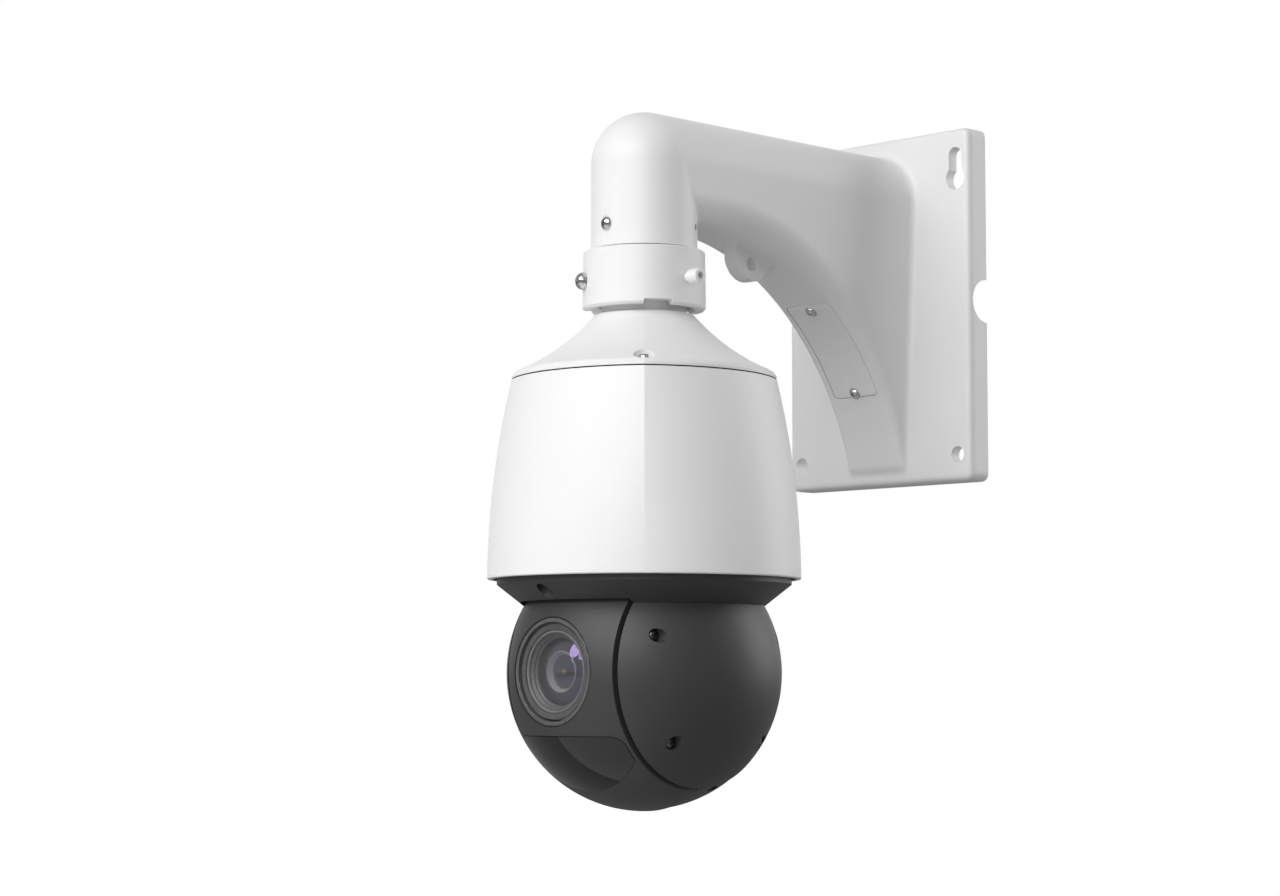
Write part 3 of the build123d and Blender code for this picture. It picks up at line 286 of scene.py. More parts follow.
def lathe(outline, segments):
    """Closed solid of revolution about Z from (radius, z) points; radius 0 makes a pole."""
    points, rings = [], []
    for r, z in outline:
        if r < 1e-6:
            rings.append([len(points)])
            points.append((0, 0, z))
        else:
            rings.append(list(range(len(points), len(points) + segments)))
            points += [(r * cos(2 * pi * i / segments), r * sin(2 * pi * i / segments), z)
                       for i in range(segments)]
    faces = []
    loop = rings if len(rings[0]) == 1 else rings + [rings[0]]
    for a, b in zip(loop, loop[1:]):
        for i in range(segments):
            j = (i + 1) % segments
            if len(a) == 1 and len(b) == 1:
                continue
            if len(a) == 1:
                faces.append((a[0], b[i], b[j]))
            elif len(b) == 1:
                faces.append((a[i], b[0], a[j]))
            else:
                faces.append((a[i], b[i], b[j], a[j]))
    return facing_out(new_mesh(points, faces))


def cap_arc(r, curve, crown, steps):
    """Profile of a ball-shaped cap of radius curve, from its rim at radius r to its crown."""
    top = asin(r / curve)
    arc = [(curve * sin(top * k / steps), crown - curve + curve * cos(top * k / steps))
           for k in range(steps, 0, -1)]
    return arc + [(0, crown)]


def rounded(points, radii, steps, closed=False):
    """Outline with its corners rounded: one radius per point, 0 for a sharp corner."""
    out = []
    count = len(points)
    for i, (x, y) in enumerate(points):
        r = radii[i] if not isinstance(radii, (int, float)) else radii
        if r <= 0 or (not closed and i in (0, count - 1)):
            out.append((x, y))
            continue
        p, a, b = Vector((x, y)), Vector(points[i - 1]), Vector(points[(i + 1) % count])
        u, v = (a - p).normalized(), (b - p).normalized()
        half = acos(max(-1, min(1, u.dot(v)))) / 2
        reach = min(r / tan(half), (a - p).length * 0.49, (b - p).length * 0.49)
        r = reach * tan(half)
        centre = p + (u + v).normalized() * (r / sin(half))
        start, end = p + u * reach - centre, p + v * reach - centre
        turn = start.angle_signed(end)
        for k in range(steps + 1):
            c, s = cos(-turn * k / steps), sin(-turn * k / steps)
            out.append((centre.x + start.x * c - start.y * s, centre.y + start.x * s + start.y * c))
    return out


def prism(outline, z0, z1):
    """Closed straight solid on an outline of (x, y) points."""
    n = len(outline)
    points = [(x, y, z0) for x, y in outline] + [(x, y, z1) for x, y in outline]
    faces = [(i, (i + 1) % n, n + (i + 1) % n, n + i) for i in range(n)]
    faces += [tuple(range(n - 1, -1, -1)), tuple(range(n, 2 * n))]
    return new_mesh(points, faces)


def box_mesh(x0, x1, y0, y1, z0, z1):
    """Block between two corners."""
    return prism([(x0, y0), (x1, y0), (x1, y1), (x0, y1)], z0, z1)


def facing(point, direction, roll=0.0):
    """Matrix that puts a piece's +Z along direction at point."""
    turn = Vector(direction).to_track_quat("Z", "Y").to_matrix().to_4x4()
    return Matrix.Translation(point) @ turn @ Matrix.Rotation(roll, 4, "Z")


def rod_mesh(r, start, direction, length, segments=48):
    """Round bar from start along direction."""
    return placed(lathe([(0, 0), (r, 0), (r, length), (0, length)], segments), facing(start, direction))


def polar(az, r, z):
    """Point at a compass angle: 0 is the lens side, 90 is +X."""
    return Vector((r * sin(radians(az)), -r * cos(radians(az)), z))


# ---- distance fields, for cast shapes whose fillets grow and shrink ----
def round_union(a, b, r):
    """Both fields together with a fillet between them."""
    return np.maximum(r, np.minimum(a, b)) - np.hypot(np.maximum(r - a, 0), np.maximum(r - b, 0))


def round_cut(a, b, r):
    """Overlap of two fields with its outer edge rounded."""
    return np.minimum(-r, np.maximum(a, b)) + np.hypot(np.maximum(r + a, 0), np.maximum(r + b, 0))


def field_mesh(field, low, high, step):
    """All-quad skin of a distance field: a point in each grid cell it crosses, moved onto it."""
    axes = [np.arange(a, b + step, step) for a, b in zip(low, high)]
    values = field(*np.meshgrid(*axes, indexing="ij"))
    inside = values < 0
    shape = tuple(n - 1 for n in values.shape)
    # each cell's point is the mean of the crossings on its twelve edges
    total = np.zeros(shape + (3,))
    count = np.zeros(shape)
    cell = np.stack(np.meshgrid(*[np.arange(n) for n in shape], indexing="ij"), -1)
    for axis in range(3):
        for du in (0, 1):
            for dv in (0, 1):
                shift = [du, dv]
                shift.insert(axis, 0)
                here = tuple(slice(s, n + s) for s, n in zip(shift, shape))
                shift[axis] = 1
                there = tuple(slice(s, n + s) for s, n in zip(shift, shape))
                a, b = values[here], values[there]
                hit = inside[here] != inside[there]
                shift[axis] = 0
                along = np.where(hit, a / np.where(hit, a - b, 1), 0)
                for k in range(3):
                    total[..., k] += hit * (cell[..., k] + (along if k == axis else shift[k]))
                count += hit
    used = count > 0
    index = np.full(shape, -1)
    index[used] = np.arange(used.sum())
    points = np.array(low) + step * total[used] / count[used][:, None]
    # every grid edge that crosses the surface gives one quad between its four cells
    faces = []
    for axis in range(3):
        order = (axis, (axis + 1) % 3, (axis + 2) % 3)
        solid = np.transpose(inside, order)
        cells = np.transpose(index, order)
        i, j, k = np.nonzero(solid[:-1, 1:-1, 1:-1] != solid[1:, 1:-1, 1:-1])
        quad = np.stack([cells[i, j, k], cells[i, j + 1, k], cells[i, j + 1, k + 1], cells[i, j, k + 1]], -1)
        flip = ~solid[i, j + 1, k + 1]
        quad[flip] = quad[flip][:, ::-1]
        faces.append(quad)
    # slide the points along the gradient until they lie on the surface
    eps = 0.02
    for _ in range(5):
        d = field(*points.T)
        grad = np.stack([(field(*(points + eps * e).T) - field(*(points - eps * e).T)) / (2 * eps)
                         for e in np.eye(3)], -1)
        size = np.maximum((grad ** 2).sum(1), 0.2)
        points -= np.clip(d / size, -step, step)[:, None] * grad
    return new_mesh(points.tolist(), np.concatenate(faces).tolist())


# ---------------------------------------------------------------- wall bracket
REACH, PLATE_Z = -HEAD.y / MM, -HEAD.z / MM      # wall and plate centre in the head frame
bracket_low, bracket_high = [(corner - HEAD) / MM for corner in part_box("wall_bracket")]
PLATE_HALF_W, PLATE_HALF_H = bracket_high.x, PLATE_Z - bracket_low.z
PLATE_T = 16.5
PLATE_FRONT = REACH - PLATE_T
PLATE_CORNER, PLATE_EDGE, PLATE_RIM, PLATE_WEB = 5.0, 3.7, 5.5, 7.4
HOLE_X, HOLE_Z, BOLT_R = 62.0, 90.0, 4.75
KEY_ENTRY_R, KEY_SLOT_R, KEY_DROP = 7.1, 4.8, 14.0
NOTCH_R, NOTCH_Z = 13.0, PLATE_Z + 2.0
TUBE_R, TUBE_BORE_R, TUBE_FOOT_Z, ELBOW_Z = 30.0, 24.0, 237.0, 285.7
SPIGOT_TOP_Z = 259.0
ARM_TAPER, ARM_WALL = 0.0504, 4.5
ARC_R, ARC_Y, ARC_Z = 170.3, 33.8, 83.5          # concave underside: radius and centre
FLARE_TOP, FLARE_FOOT = 4.5, 3.0                 # fillet where the arm's sides meet the plate
FOOT_BLEND = 5.0                                 # fillet where the arm's foot runs into the plate
EDGE_NEAR, EDGE_FAR = 15.0, 2.5                  # rounding of the underside's edges at tube and plate
FOOT_Y, FOOT_Z, FOOT_LEAN = PLATE_FRONT - 0.1, 124.5, radians(58)
LUG_R, LUG_T, LUG_Y, LUG_Z = 15.8, 10.0, 86.0, 244.0
LUG_HOLE_R, LUG_HOLE_Y, LUG_HOLE_Z = 4.0, 83.5, 237.7
TUBE_SCREW_Z, SPOT_FACE_R, SPOT_FACE_DEPTH = 249.4, 4.8, 0.45
TUBE_SCREW_AZIMUTHS, TUBE_SCREW_HOLE_R = (0, 120, 240), 2.1
COVER_SCREW_HOLE_R = 1.9
SLAB_STEPS = 28                                  # straight pieces along a curved slab
CELL, QUICK_CELL = 1.4, 2.4                      # grid of the casting's distance field
COVER_A0, COVER_A1 = 29.6, 52.7                  # degrees round the underside arc
COVER_HALF_W, COVER_T, COVER_CORNER, COVER_GAP = 16.8, 2.0, 2.5, 0.45
COVER_SCREW_ANGLES = (COVER_A0 + 0.85, COVER_A1 - 1.75)


def arm_field(x, y, z, shrink=0.0):
    """Arm with a half-round top, tapering flared sides and a concave round underside."""
    below = np.minimum(z - ELBOW_Z, 0)
    above = np.maximum(z - ELBOW_Z, 0)
    side = np.hypot(x, above) - TUBE_R - below * ARM_TAPER + shrink
    if not shrink:
        flare = FLARE_FOOT + (FLARE_TOP - FLARE_FOOT) * np.clip((z - FOOT_Z) / (ELBOW_Z - FOOT_Z), 0, 1)
        side = np.where(side > flare, side, round_union(side, PLATE_FRONT - y, flare))
    under = np.where(y > ARC_Y, ARC_R - np.hypot(y - ARC_Y, z - ARC_Z), ARC_Z + ARC_R - z) + shrink
    share = np.clip((y - TUBE_R) / (PLATE_FRONT - TUBE_R), 0, 1)
    edge = EDGE_FAR + (EDGE_NEAR - EDGE_FAR) * (1 - share ** 2) - shrink
    body = round_cut(side, under, np.maximum(edge, 1.0))
    foot = (y - FOOT_Y) * sin(FOOT_LEAN) + (FOOT_Z - z) * cos(FOOT_LEAN)
    if not shrink:
        blend = (foot < FOOT_BLEND) & (y < PLATE_FRONT)
        foot = np.where(blend, round_union(foot, PLATE_FRONT - y, FOOT_BLEND), foot)
    return np.maximum(round_cut(body, foot + shrink, 4.0), -y - 1)


def tube_field(x, y, z):
    """Vertical tube with a ball-shaped elbow on top."""
    skin = np.where(z > ELBOW_Z, np.sqrt(x * x + y * y + (z - ELBOW_Z) ** 2), np.hypot(x, y)) - TUBE_R
    return np.maximum(skin, TUBE_FOOT_Z - 5 - z)


def bracket_field(x, y, z):
    """The whole casting: plate, arm, elbow, tube and lug, hollow inside."""
    across = np.abs(x) - (PLATE_HALF_W - PLATE_CORNER)
    along = np.abs(z - PLATE_Z) - (PLATE_HALF_H - PLATE_CORNER)
    outline = (np.hypot(np.maximum(across, 0), np.maximum(along, 0))
               + np.minimum(np.maximum(across, along), 0) - PLATE_CORNER)
    plate = round_cut(outline, PLATE_FRONT - y, PLATE_EDGE)
    lug = round_cut(np.abs(x) - LUG_T / 2, np.hypot(y - LUG_Y, z - LUG_Z) - LUG_R, 0.8)
    arm = round_union(arm_field(x, y, z), lug, 2.5)
    bore = np.maximum(tube_field(x, y, z) + ARM_WALL, SPIGOT_TOP_Z + 1 - z)
    hollow = np.minimum(arm_field(x, y, z, ARM_WALL), bore)
    body = np.minimum(np.minimum(plate, arm), tube_field(x, y, z))
    return np.maximum(np.maximum(body, -hollow), y - REACH - 3)


def arc_point(angle, r, x=0.0):
    """Point round the underside arc's centre."""
    return Vector((x, ARC_Y + r * cos(radians(angle)), ARC_Z + r * sin(radians(angle))))


def arc_out(angle):
    """Direction away from the arm's underside, towards the arc's centre."""
    return Vector((0, -cos(radians(angle)), -sin(radians(angle))))


def arc_slab(half_w, r0, r1, a0, a1, corner, edge=0.0):
    """Curved slab that follows the underside; edge rounds the rim of its outer face."""
    length = radians(a1 - a0) * r0
    outline = rounded([(-half_w, 0), (half_w, 0), (half_w, length), (-half_w, length)], corner, 6, True)
    # extra points along the long sides, so that they can bend
    dense = []
    for (xa, sa), (xb, sb) in zip(outline, outline[1:] + outline[:1]):
        parts = max(1, int(abs(sb - sa) / (length / SLAB_STEPS)))
        dense += [(xa + (xb - xa) * k / parts, sa + (sb - sa) * k / parts) for k in range(parts)]
    centre = Vector((0, length / 2))
    layers = [(r1, 0.0), (r0 + edge, 0.0)]
    if edge:
        layers += [(r0 + edge * 0.3, edge * 0.3), (r0, edge)]
    points, faces = [], []
    n = len(dense)
    for r, inset in layers:
        for x, s in dense:
            shift = centre - Vector((x, s))
            x2 = x + max(-inset, min(inset, shift.x))
            s2 = s + max(-inset, min(inset, shift.y))
            points.append(arc_point(a0 + degrees(s2 / r0), r, x2))
    for layer in range(len(layers) - 1):
        for i in range(n):
            j = (i + 1) % n
            a, b = layer * n, (layer + 1) * n
            faces.append((a + i, a + j, b + j, b + i))
    # both faces as strips across the width, so that they follow the arc
    for layer, flip in ((0, True), (len(layers) - 1, False)):
        base = layer * n
        left = sorted((i for i in range(n) if dense[i][0] < 0), key=lambda i: dense[i][1])
        right = sorted((i for i in range(n) if dense[i][0] > 0), key=lambda i: dense[i][1])
        i = j = 0
        while i < len(left) - 1 or j < len(right) - 1:
            right_done = j == len(right) - 1
            left_open = i < len(left) - 1
            if right_done or (left_open and dense[left[i + 1]][1] <= dense[right[j + 1]][1]):
                face = (base + left[i], base + right[j], base + left[i + 1])
                i += 1
            else:
                face = (base + left[i], base + right[j], base + right[j + 1])
                j += 1
            faces.append(face[::-1] if flip else face)
    return facing_out(new_mesh(points, faces))


def plate_holes():
    """Cutters for the bolt holes, keyholes, cable notches and the hollow back."""
    back = REACH + 8
    behind_wall = box_mesh(-90, 90, REACH, REACH + 20, 100, 340)
    cutters = [behind_wall]
    half_w, half_h = PLATE_HALF_W - PLATE_RIM, PLATE_HALF_H - PLATE_RIM
    pocket = rounded([(-half_w, -half_h), (half_w, -half_h), (half_w, half_h), (-half_w, half_h)], 3, 6, True)
    lay = Matrix.Translation((0, 0, PLATE_Z)) @ Matrix.Rotation(pi / 2, 4, "X")
    cutters.append(placed(prism(pocket, -back, -(PLATE_FRONT + PLATE_WEB)), lay))
    for side in (-1, 1):
        x = side * HOLE_X
        top = PLATE_Z + HOLE_Z
        cutters.append(rod_mesh(BOLT_R, (x, PLATE_FRONT - 6, PLATE_Z - HOLE_Z), (0, 1, 0), 40))
        # keyhole: the round end of the slot on top, the wider entry circle KEY_DROP below it
        lean = asin(KEY_SLOT_R / KEY_ENTRY_R)
        key = [(KEY_SLOT_R * cos(t), KEY_SLOT_R * sin(t)) for t in (pi * k / 20 for k in range(21))]
        sweep = 2 * pi - 2 * lean
        turns = [lean + sweep * k / 40 for k in range(41)]
        key += [(-KEY_ENTRY_R * sin(t), -KEY_DROP + KEY_ENTRY_R * cos(t)) for t in turns]
        place = Matrix.Translation((x, 0, top)) @ Matrix.Rotation(pi / 2, 4, "X")
        cutters.append(placed(prism(key, -back, -(PLATE_FRONT - 6)), place))
        cutters.append(rod_mesh(NOTCH_R, (side * (PLATE_HALF_W - 10), REACH, NOTCH_Z), (side, 0, 0), 30, 64))
    return cutters


def bracket():
    """The casting with its holes, pockets and bore cut."""
    step = CELL
    skin = field_mesh(bracket_field, (-PLATE_HALF_W - 3, -TUBE_R - 3, PLATE_Z - PLATE_HALF_H - 3),
                      (PLATE_HALF_W + 3, REACH + 6, PLATE_Z + PLATE_HALF_H + 3), step)
    cutters = plate_holes()
    below_tube = box_mesh(-40, 40, -40, TUBE_R + 1.5, 100, TUBE_FOOT_Z)
    cutters.append(below_tube)
    bore_foot = TUBE_FOOT_Z - 10
    bore_l = SPIGOT_TOP_Z + 2 - bore_foot
    cutters.append(rod_mesh(TUBE_BORE_R, (0, 0, bore_foot), (0, 0, 1), bore_l, 96))
    cutters.append(rod_mesh(LUG_HOLE_R, (-LUG_T, LUG_HOLE_Y, LUG_HOLE_Z), (1, 0, 0), 2 * LUG_T))
    cutters.append(arc_slab(COVER_HALF_W + COVER_GAP, ARC_R - 4, ARC_R + COVER_T + 0.8,
                            COVER_A0 - 0.1, COVER_A1 + 0.1, COVER_CORNER + COVER_GAP))
    for az in TUBE_SCREW_AZIMUTHS:
        start = polar(az, TUBE_BORE_R - 2, TUBE_SCREW_Z)
        cutters.append(rod_mesh(TUBE_SCREW_HOLE_R, start, polar(az, 1, 0), 12))
    face = polar(0, TUBE_R - SPOT_FACE_DEPTH, TUBE_SCREW_Z)
    cutters.append(rod_mesh(SPOT_FACE_R, face, polar(0, 1, 0), 4, 64))
    return carved(skin, cutters)


finish_piece("bracket_casting", bracket(), white, "mount", ["wall_bracket"])


def access_cover():
    """Curved cover under the arm with its two screw holes."""
    plate = arc_slab(COVER_HALF_W, ARC_R, ARC_R + COVER_T, COVER_A0, COVER_A1, COVER_CORNER, 0.5)
    holes = [rod_mesh(COVER_SCREW_HOLE_R, arc_point(a, ARC_R - 3), -arc_out(a), 8)
             for a in COVER_SCREW_ANGLES]
    return carved(plate, holes)


finish_piece("arm_cover_plate", access_cover(), white, "mount", ["access_cover"])


# ---------------------------------------------------------------- screws
def cross_screw(r, height, shank_r, shank_l, flange=0.0):
    """Domed machine screw with a tapered cross recess; its underside is at z = 0."""
    shank = [(0, -shank_l), (shank_r * 0.7, -shank_l), (shank_r, -shank_l + 0.5), (shank_r, 0)]
    rim = [(r, 0)]
    if flange:
        rim = [(flange - 0.15, 0), (flange, 0.15), (flange, 0.4), (flange - 0.2, 0.55), (r + 0.05, 0.55)]
    skirt = 0.22 * height
    crown_r = (r * r + (height - skirt) ** 2) / (2 * (height - skirt))
    head = lathe(shank + rim + cap_arc(r, crown_r, height, 12), 56)
    # the recess is cut by two crossed wings that widen upwards
    wings = []
    for turn in (0, pi / 2):
        span, low = 0.62 * r, 0.26 * r
        z0, z1 = height * 0.36, height + 1
        w0, w1 = 0.06 * r, 0.13 * r
        pts = [(-low, -w0, z0), (low, -w0, z0), (low, w0, z0), (-low, w0, z0),
               (-span, -w1, z1), (span, -w1, z1), (span, w1, z1), (-span, w1, z1)]
        sides = [(k, (k + 1) % 4, (k + 1) % 4 + 4, k + 4) for k in range(4)]
        wing = new_mesh(pts, [(3, 2, 1, 0), (4, 5, 6, 7)] + sides)
        wings.append(placed(wing, Matrix.Rotation(turn, 4, "Z")))
    return carved(head, wings)


def socket_screw(r, length, shank_r, shank_l, socket_r):
    """Cap screw with a hexagon socket and a chamfered head."""
    outline = [(0, -shank_l), (shank_r, -shank_l), (shank_r, 0)]
    outline += rounded([(shank_r, 0), (r, 0), (r, length), (0, length)], [0, 0.25, 0.6, 0], 5)[1:]
    head = lathe(outline, 72)
    hexagon = [(socket_r * cos(radians(60 * k)), socket_r * sin(radians(60 * k))) for k in range(6)]
    return carved(head, [prism(hexagon, length * 0.4, length + 1)])


def screw_set(name, screw, places, node, material=steel):
    """One piece of several equal screws on the mount."""
    mesh = joined([placed(screw, place) for place in places])
    finish_piece(name, mesh, material, "mount", [node])


COLLAR_SCREW_Z, COLLAR_R = 218.6, 34.8
screw_set("tube_screw", cross_screw(3.85, 2.9, 2.0, 4.0),
          [facing(polar(0, TUBE_R - 0.4, TUBE_SCREW_Z), polar(0, 1, 0), radians(2))],
          "tube_lock_screw")
screw_set("cover_fixings", cross_screw(3.0, 2.4, 1.5, 5.0, 3.7),
          [facing(arc_point(a, ARC_R - 0.05), arc_out(a), radians(40)) for a in COVER_SCREW_ANGLES],
          "cover_screws")
screw_set("collar_side_screws", cross_screw(4.65, 3.7, 2.4, 8.0),
          [facing(polar(az, COLLAR_R + 1.5, COLLAR_SCREW_Z), polar(az, 1, 0), radians(45))
           for az in (-30, 210)],
          "collar_pan_screws")
screw_set("collar_socket_screw", socket_screw(4.3, 7.2, 2.7, 9.0, 2.35),
          [facing(polar(90, COLLAR_R + 2.3, COLLAR_SCREW_Z), polar(90, 1, 0), radians(12))],
          "collar_cap_screw", white)


# ---------------------------------------------------------------- zoom lens behind the round window
WINDOW_Z, PANE_T, PANE_R, PANE_BORDER = 70.5, 2.6, 29.1, 27.1
GUIDE_R, GUIDE_BORE, GUIDE_BACK = 17.4, 14.1, -25.0
LENS_R, LENS_CURVE, LENS_CROWN = 18.2, 38.0, 66.2
INNER_R, INNER_CURVE, INNER_CROWN = 9.2, 24.0, 61.6
AHEAD = facing((0, 0, 0), (0, -1, 0))


def meniscus_outline(r, curve, crown, thickness):
    """Outline of a curved lens element whose two faces run parallel."""
    front = cap_arc(r, curve, crown, 24)
    back = [(x, z - thickness) for x, z in front]
    return back[::-1] + front


def pane_mesh():
    """Round window with a fine groove near its rim."""
    front, groove = WINDOW_Z, 0.09
    outline = [(0, front - PANE_T), (PANE_R, front - PANE_T), (PANE_R, front - 0.12), (PANE_R - 0.12, front),
               (PANE_BORDER + groove, front), (PANE_BORDER, front - groove), (PANE_BORDER - groove, front),
               (0, front)]
    return placed(lathe(outline, 160), AHEAD)


def border_mesh():
    """Printed border just under the front of the window; its grey is partly painted reflection."""
    inner, outer = PANE_BORDER - 0.1, PANE_R - 0.14
    return placed(lathe([(inner, WINDOW_Z - 0.6), (outer, WINDOW_Z - 0.6), (outer, WINDOW_Z - 0.25),
                         (inner, WINDOW_Z - 0.25)], 160), AHEAD)


def hood_mesh():
    """Stepped front of the lens barrel with its guide tube."""
    tube = [(GUIDE_BORE, 40), (GUIDE_BORE, GUIDE_BACK), (GUIDE_R, GUIDE_BACK), (GUIDE_R, 31), (26, 31)]
    front = [(26, 67.2), (25.6, 67.6), (23.2, 67.4), (22.9, 66.4), (21.0, 66.2), (20.9, 65.4),
             (19.5, 64.6), (19.3, 63.6), (18.3, 63.0), (18.3, 40)]
    return placed(lathe(tube + front, 160), AHEAD)


def bead_mesh():
    """Bright bead on the first step of the hood."""
    outline = [(21.3, 66.0), (22.3, 66.0), (22.3, 66.8), (22.0, 67.1), (21.6, 67.1), (21.3, 66.8)]
    return placed(lathe(outline, 160), AHEAD)


def lens_face_mesh():
    """Black shelf under the front element."""
    outline = [(0, 58.4), (LENS_R, 58.4), (LENS_R, 60.6), (12.4, 61.8), (11.3, 61.8), (10.6, 59.6), (0, 59.4)]
    return placed(lathe(outline, 128), AHEAD)


def inner_ring_mesh():
    """Pale ring with an inward bevel round the inner element."""
    outline = [(INNER_R, 59.6), (11.0, 59.6), (11.4, 62.2), (11.2, 62.5), (10.7, 62.5), (INNER_R + 0.4, 59.9)]
    return placed(lathe(outline, 128), AHEAD)


def stop_mesh():
    """Small round stop in the middle of the lens."""
    outline = [(0, 59.3), (1.6, 59.3), (1.6, 60.0), (1.2, 60.6), (0.8, 60.6), (0.5, 60.0), (0, 59.9)]
    return placed(lathe(outline, 48), AHEAD)


finish_piece("window_pane", pane_mesh(), clear, "tilt_module", ["lens_window"])
finish_piece("window_border", border_mesh(), border_print_and_reflection, "tilt_module", [])
finish_piece("lens_hood", hood_mesh(), hood_plastic_and_reflection, "tilt_module", ["lens_barrel"])
finish_piece("lens_hood_bead", bead_mesh(), ring_paint, "tilt_module", [])
front = placed(lathe(meniscus_outline(LENS_R, LENS_CURVE, LENS_CROWN, 0.5), 128), AHEAD)
finish_piece("lens_front_element", front, front_coating, "tilt_module", ["front_lens"])
finish_piece("lens_inner_shelf", lens_face_mesh(), shelf_black, "tilt_module", [])
finish_piece("lens_inner_ring", inner_ring_mesh(), ring_paint, "tilt_module", [])
inner = placed(lathe(meniscus_outline(INNER_R - 0.05, INNER_CURVE, INNER_CROWN, 0.4), 96), AHEAD)
finish_piece("lens_inner_element", inner, inner_coating, "tilt_module", [])
finish_piece("lens_stop", stop_mesh(), brass, "tilt_module", [])


# ---------------------------------------------------------------- studio
SKY, BACKDROP = 0.35, 1.0                        # strength of the sky and of the backdrop
BACKDROP_AHEAD, BACKDROP_EDGE = (-0.70710678, 0.70710678, 0), (0.70, 0.92)   # direction, cosines of its rim
FLOOR_DROP, CARD_DROP = 0.26, 0.25               # below the tilt axis


def floor():
    """Pale floor; the camera sees it as white."""
    bm = bmesh.new()
    bmesh.ops.create_grid(bm, x_segments=8, y_segments=8, size=30)
    mesh = bpy.data.meshes.new("floor")
    bm.to_mesh(mesh)
    bm.free()
    ground = bpy.data.objects.new("floor", mesh)
    ground.location = (0, 0, HEAD.z - FLOOR_DROP)
    bpy.context.scene.collection.objects.link(ground)
    s = Shader("floor")
    matt = s.add("ShaderNodeBsdfDiffuse")
    s.link(s.mix(s.noise(3), (0.33, 0.33, 0.33), (0.35, 0.35, 0.35)), matt, "Color")
    glow = s.add("ShaderNodeEmission")
    glow.inputs["Strength"].default_value = 1.0
    path = s.add("ShaderNodeLightPath")
    pick = s.add("ShaderNodeMixShader")
    s.link(path.outputs["Is Camera Ray"], pick, 0)
    s.link(matt.outputs[0], pick, 1)
    s.link(glow.outputs[0], pick, 2)
    s.link(pick.outputs[0], s.out, "Surface")
    mesh.materials.append(s.material)


def sky():
    """Even sky with a backdrop behind the object; the camera sees all of it as white."""
    world = bpy.data.worlds.new("studio")
    bpy.context.scene.world = world
    world.use_nodes = True
    tree = world.node_tree
    tree.nodes.clear()
    out = tree.nodes.new("ShaderNodeOutputWorld")
    coord = tree.nodes.new("ShaderNodeTexCoord")
    dot = tree.nodes.new("ShaderNodeVectorMath")
    dot.operation = "DOT_PRODUCT"
    dot.inputs[1].default_value = BACKDROP_AHEAD
    tree.links.new(coord.outputs["Generated"], dot.inputs[0])
    ramp = tree.nodes.new("ShaderNodeMapRange")
    ramp.interpolation_type = "SMOOTHSTEP"
    for i, value in enumerate((*BACKDROP_EDGE, SKY, BACKDROP)):
        ramp.inputs[i + 1].default_value = value
    tree.links.new(dot.outputs["Value"], ramp.inputs[0])
    path = tree.nodes.new("ShaderNodeLightPath")
    swap = tree.nodes.new("ShaderNodeMix")
    tree.links.new(path.outputs["Is Camera Ray"], swap.inputs[0])
    tree.links.new(ramp.outputs[0], swap.inputs[2])
    swap.inputs[3].default_value = 1.0
    back = tree.nodes.new("ShaderNodeBackground")
    back.inputs["Color"].default_value = (1, 1, 1, 1)
    tree.links.new(swap.outputs[0], back.inputs["Strength"])
    tree.links.new(back.outputs[0], out.inputs["Surface"])


def soft_box(name, az, elevation, distance, size, power, shape="RECTANGLE"):
    """Soft light aimed at the middle of the object; az as in polar(), elevation in degrees."""
    data = bpy.data.lights.new(name, "AREA")
    data.shape = shape
    data.size, data.size_y = size
    data.energy = power
    lamp = bpy.data.objects.new(name, data)
    level, rise = polar(az, cos(radians(elevation)), 0), sin(radians(elevation))
    away = Vector((level.x, level.y, rise))
    lamp.location = HEAD + Vector((0, 0.06, 0.05)) + away * distance
    lamp.rotation_mode = "QUATERNION"
    lamp.rotation_quaternion = (-away).to_track_quat("-Z", "Y")
    lamp.visible_camera = False
    bpy.context.scene.collection.objects.link(lamp)
    return lamp


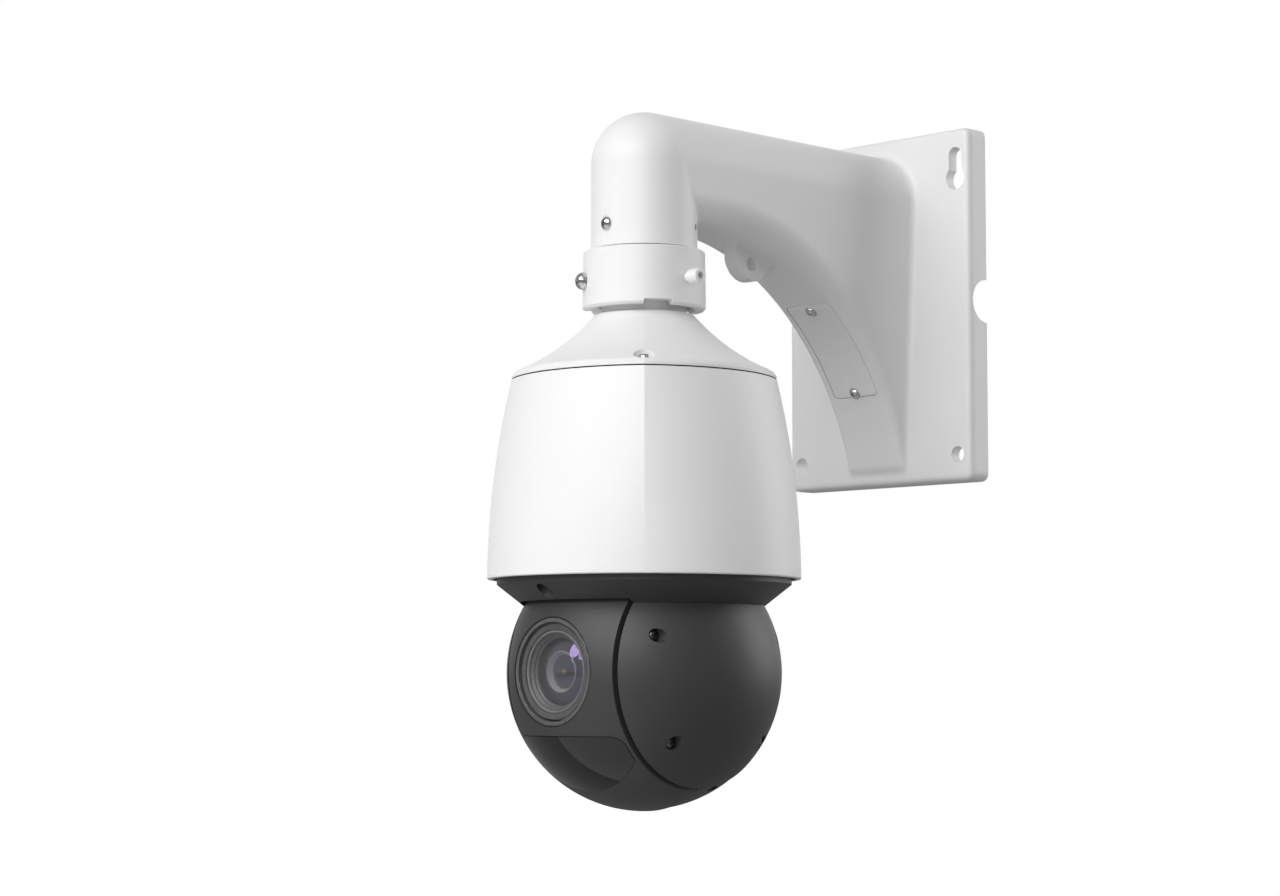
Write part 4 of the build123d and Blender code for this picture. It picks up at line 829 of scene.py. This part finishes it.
def floor_card(name, az, size, power):
    """Card just above the floor with one edge along az below the ball; only reflections show it."""
    data = bpy.data.lights.new(name, "AREA")
    data.shape = "RECTANGLE"
    data.size, data.size_y = size
    data.energy = power
    card = bpy.data.objects.new(name, data)
    along, across = polar(az, 1, 0), polar(az + 90, 1, 0)
    middle = along * size[0] / 2 + across * size[1] / 2
    turn = Matrix((along, across, along.cross(across))).transposed().to_4x4() @ Matrix.Rotation(pi, 4, "X")
    card.matrix_world = Matrix.Translation(HEAD + middle - Vector((0, 0, CARD_DROP))) @ turn
    card.visible_camera = card.visible_diffuse = card.visible_transmission = False
    bpy.context.scene.collection.objects.link(card)


CAMERA_AT = (1.15837, -1.37973, -0.23669)
CAMERA_RIGHT, CAMERA_UP = (0.70710678, 0.70710678, 0.0), (0.06087108, -0.06087108, 0.99628782)
SENSOR_W, FOCAL_LENGTH = 36.0, 82.63


def camera():
    """Eye level a little below the tilt axis, 45 degrees to the right of the lens, looking slightly up."""
    data = bpy.data.cameras.new("camera")
    data.sensor_width = SENSOR_W
    data.lens = FOCAL_LENGTH
    cam = bpy.data.objects.new("camera", data)
    right, up = Vector(CAMERA_RIGHT), Vector(CAMERA_UP)
    turn = Matrix((right, up, right.cross(up))).transposed().to_4x4()
    cam.matrix_world = Matrix.Translation(CAMERA_AT) @ turn
    bpy.context.scene.collection.objects.link(cam)
    bpy.context.scene.camera = cam


floor()
sky()
soft_box("key", 14, 35, 2.2, (1.4, 1.4), 24)
sheen = soft_box("sheen", 32, 22, 2.2, (0.9, 0.5), 9)
sheen.visible_diffuse = sheen.visible_transmission = False
left_front = soft_box("left_front", -40, 4, 2.4, (2.6, 2.6), 9)
soft_box("right_rear", 158, 16, 2.2, (1.4, 1.4), 19)
soft_box("left_high", -15, 30, 2.2, (0.7, 0.9), 7.5, "ELLIPSE")
low_front = soft_box("low_front", 8, -15, 0.85, (0.7, 0.4), 1.9)
for lamp in (left_front, low_front):
    lamp.visible_glossy = lamp.visible_transmission = False
floor_card("low_card", -49, (1.0, 0.7), 0.9)
camera()
bpy.context.scene.view_settings.view_transform = "Standard"
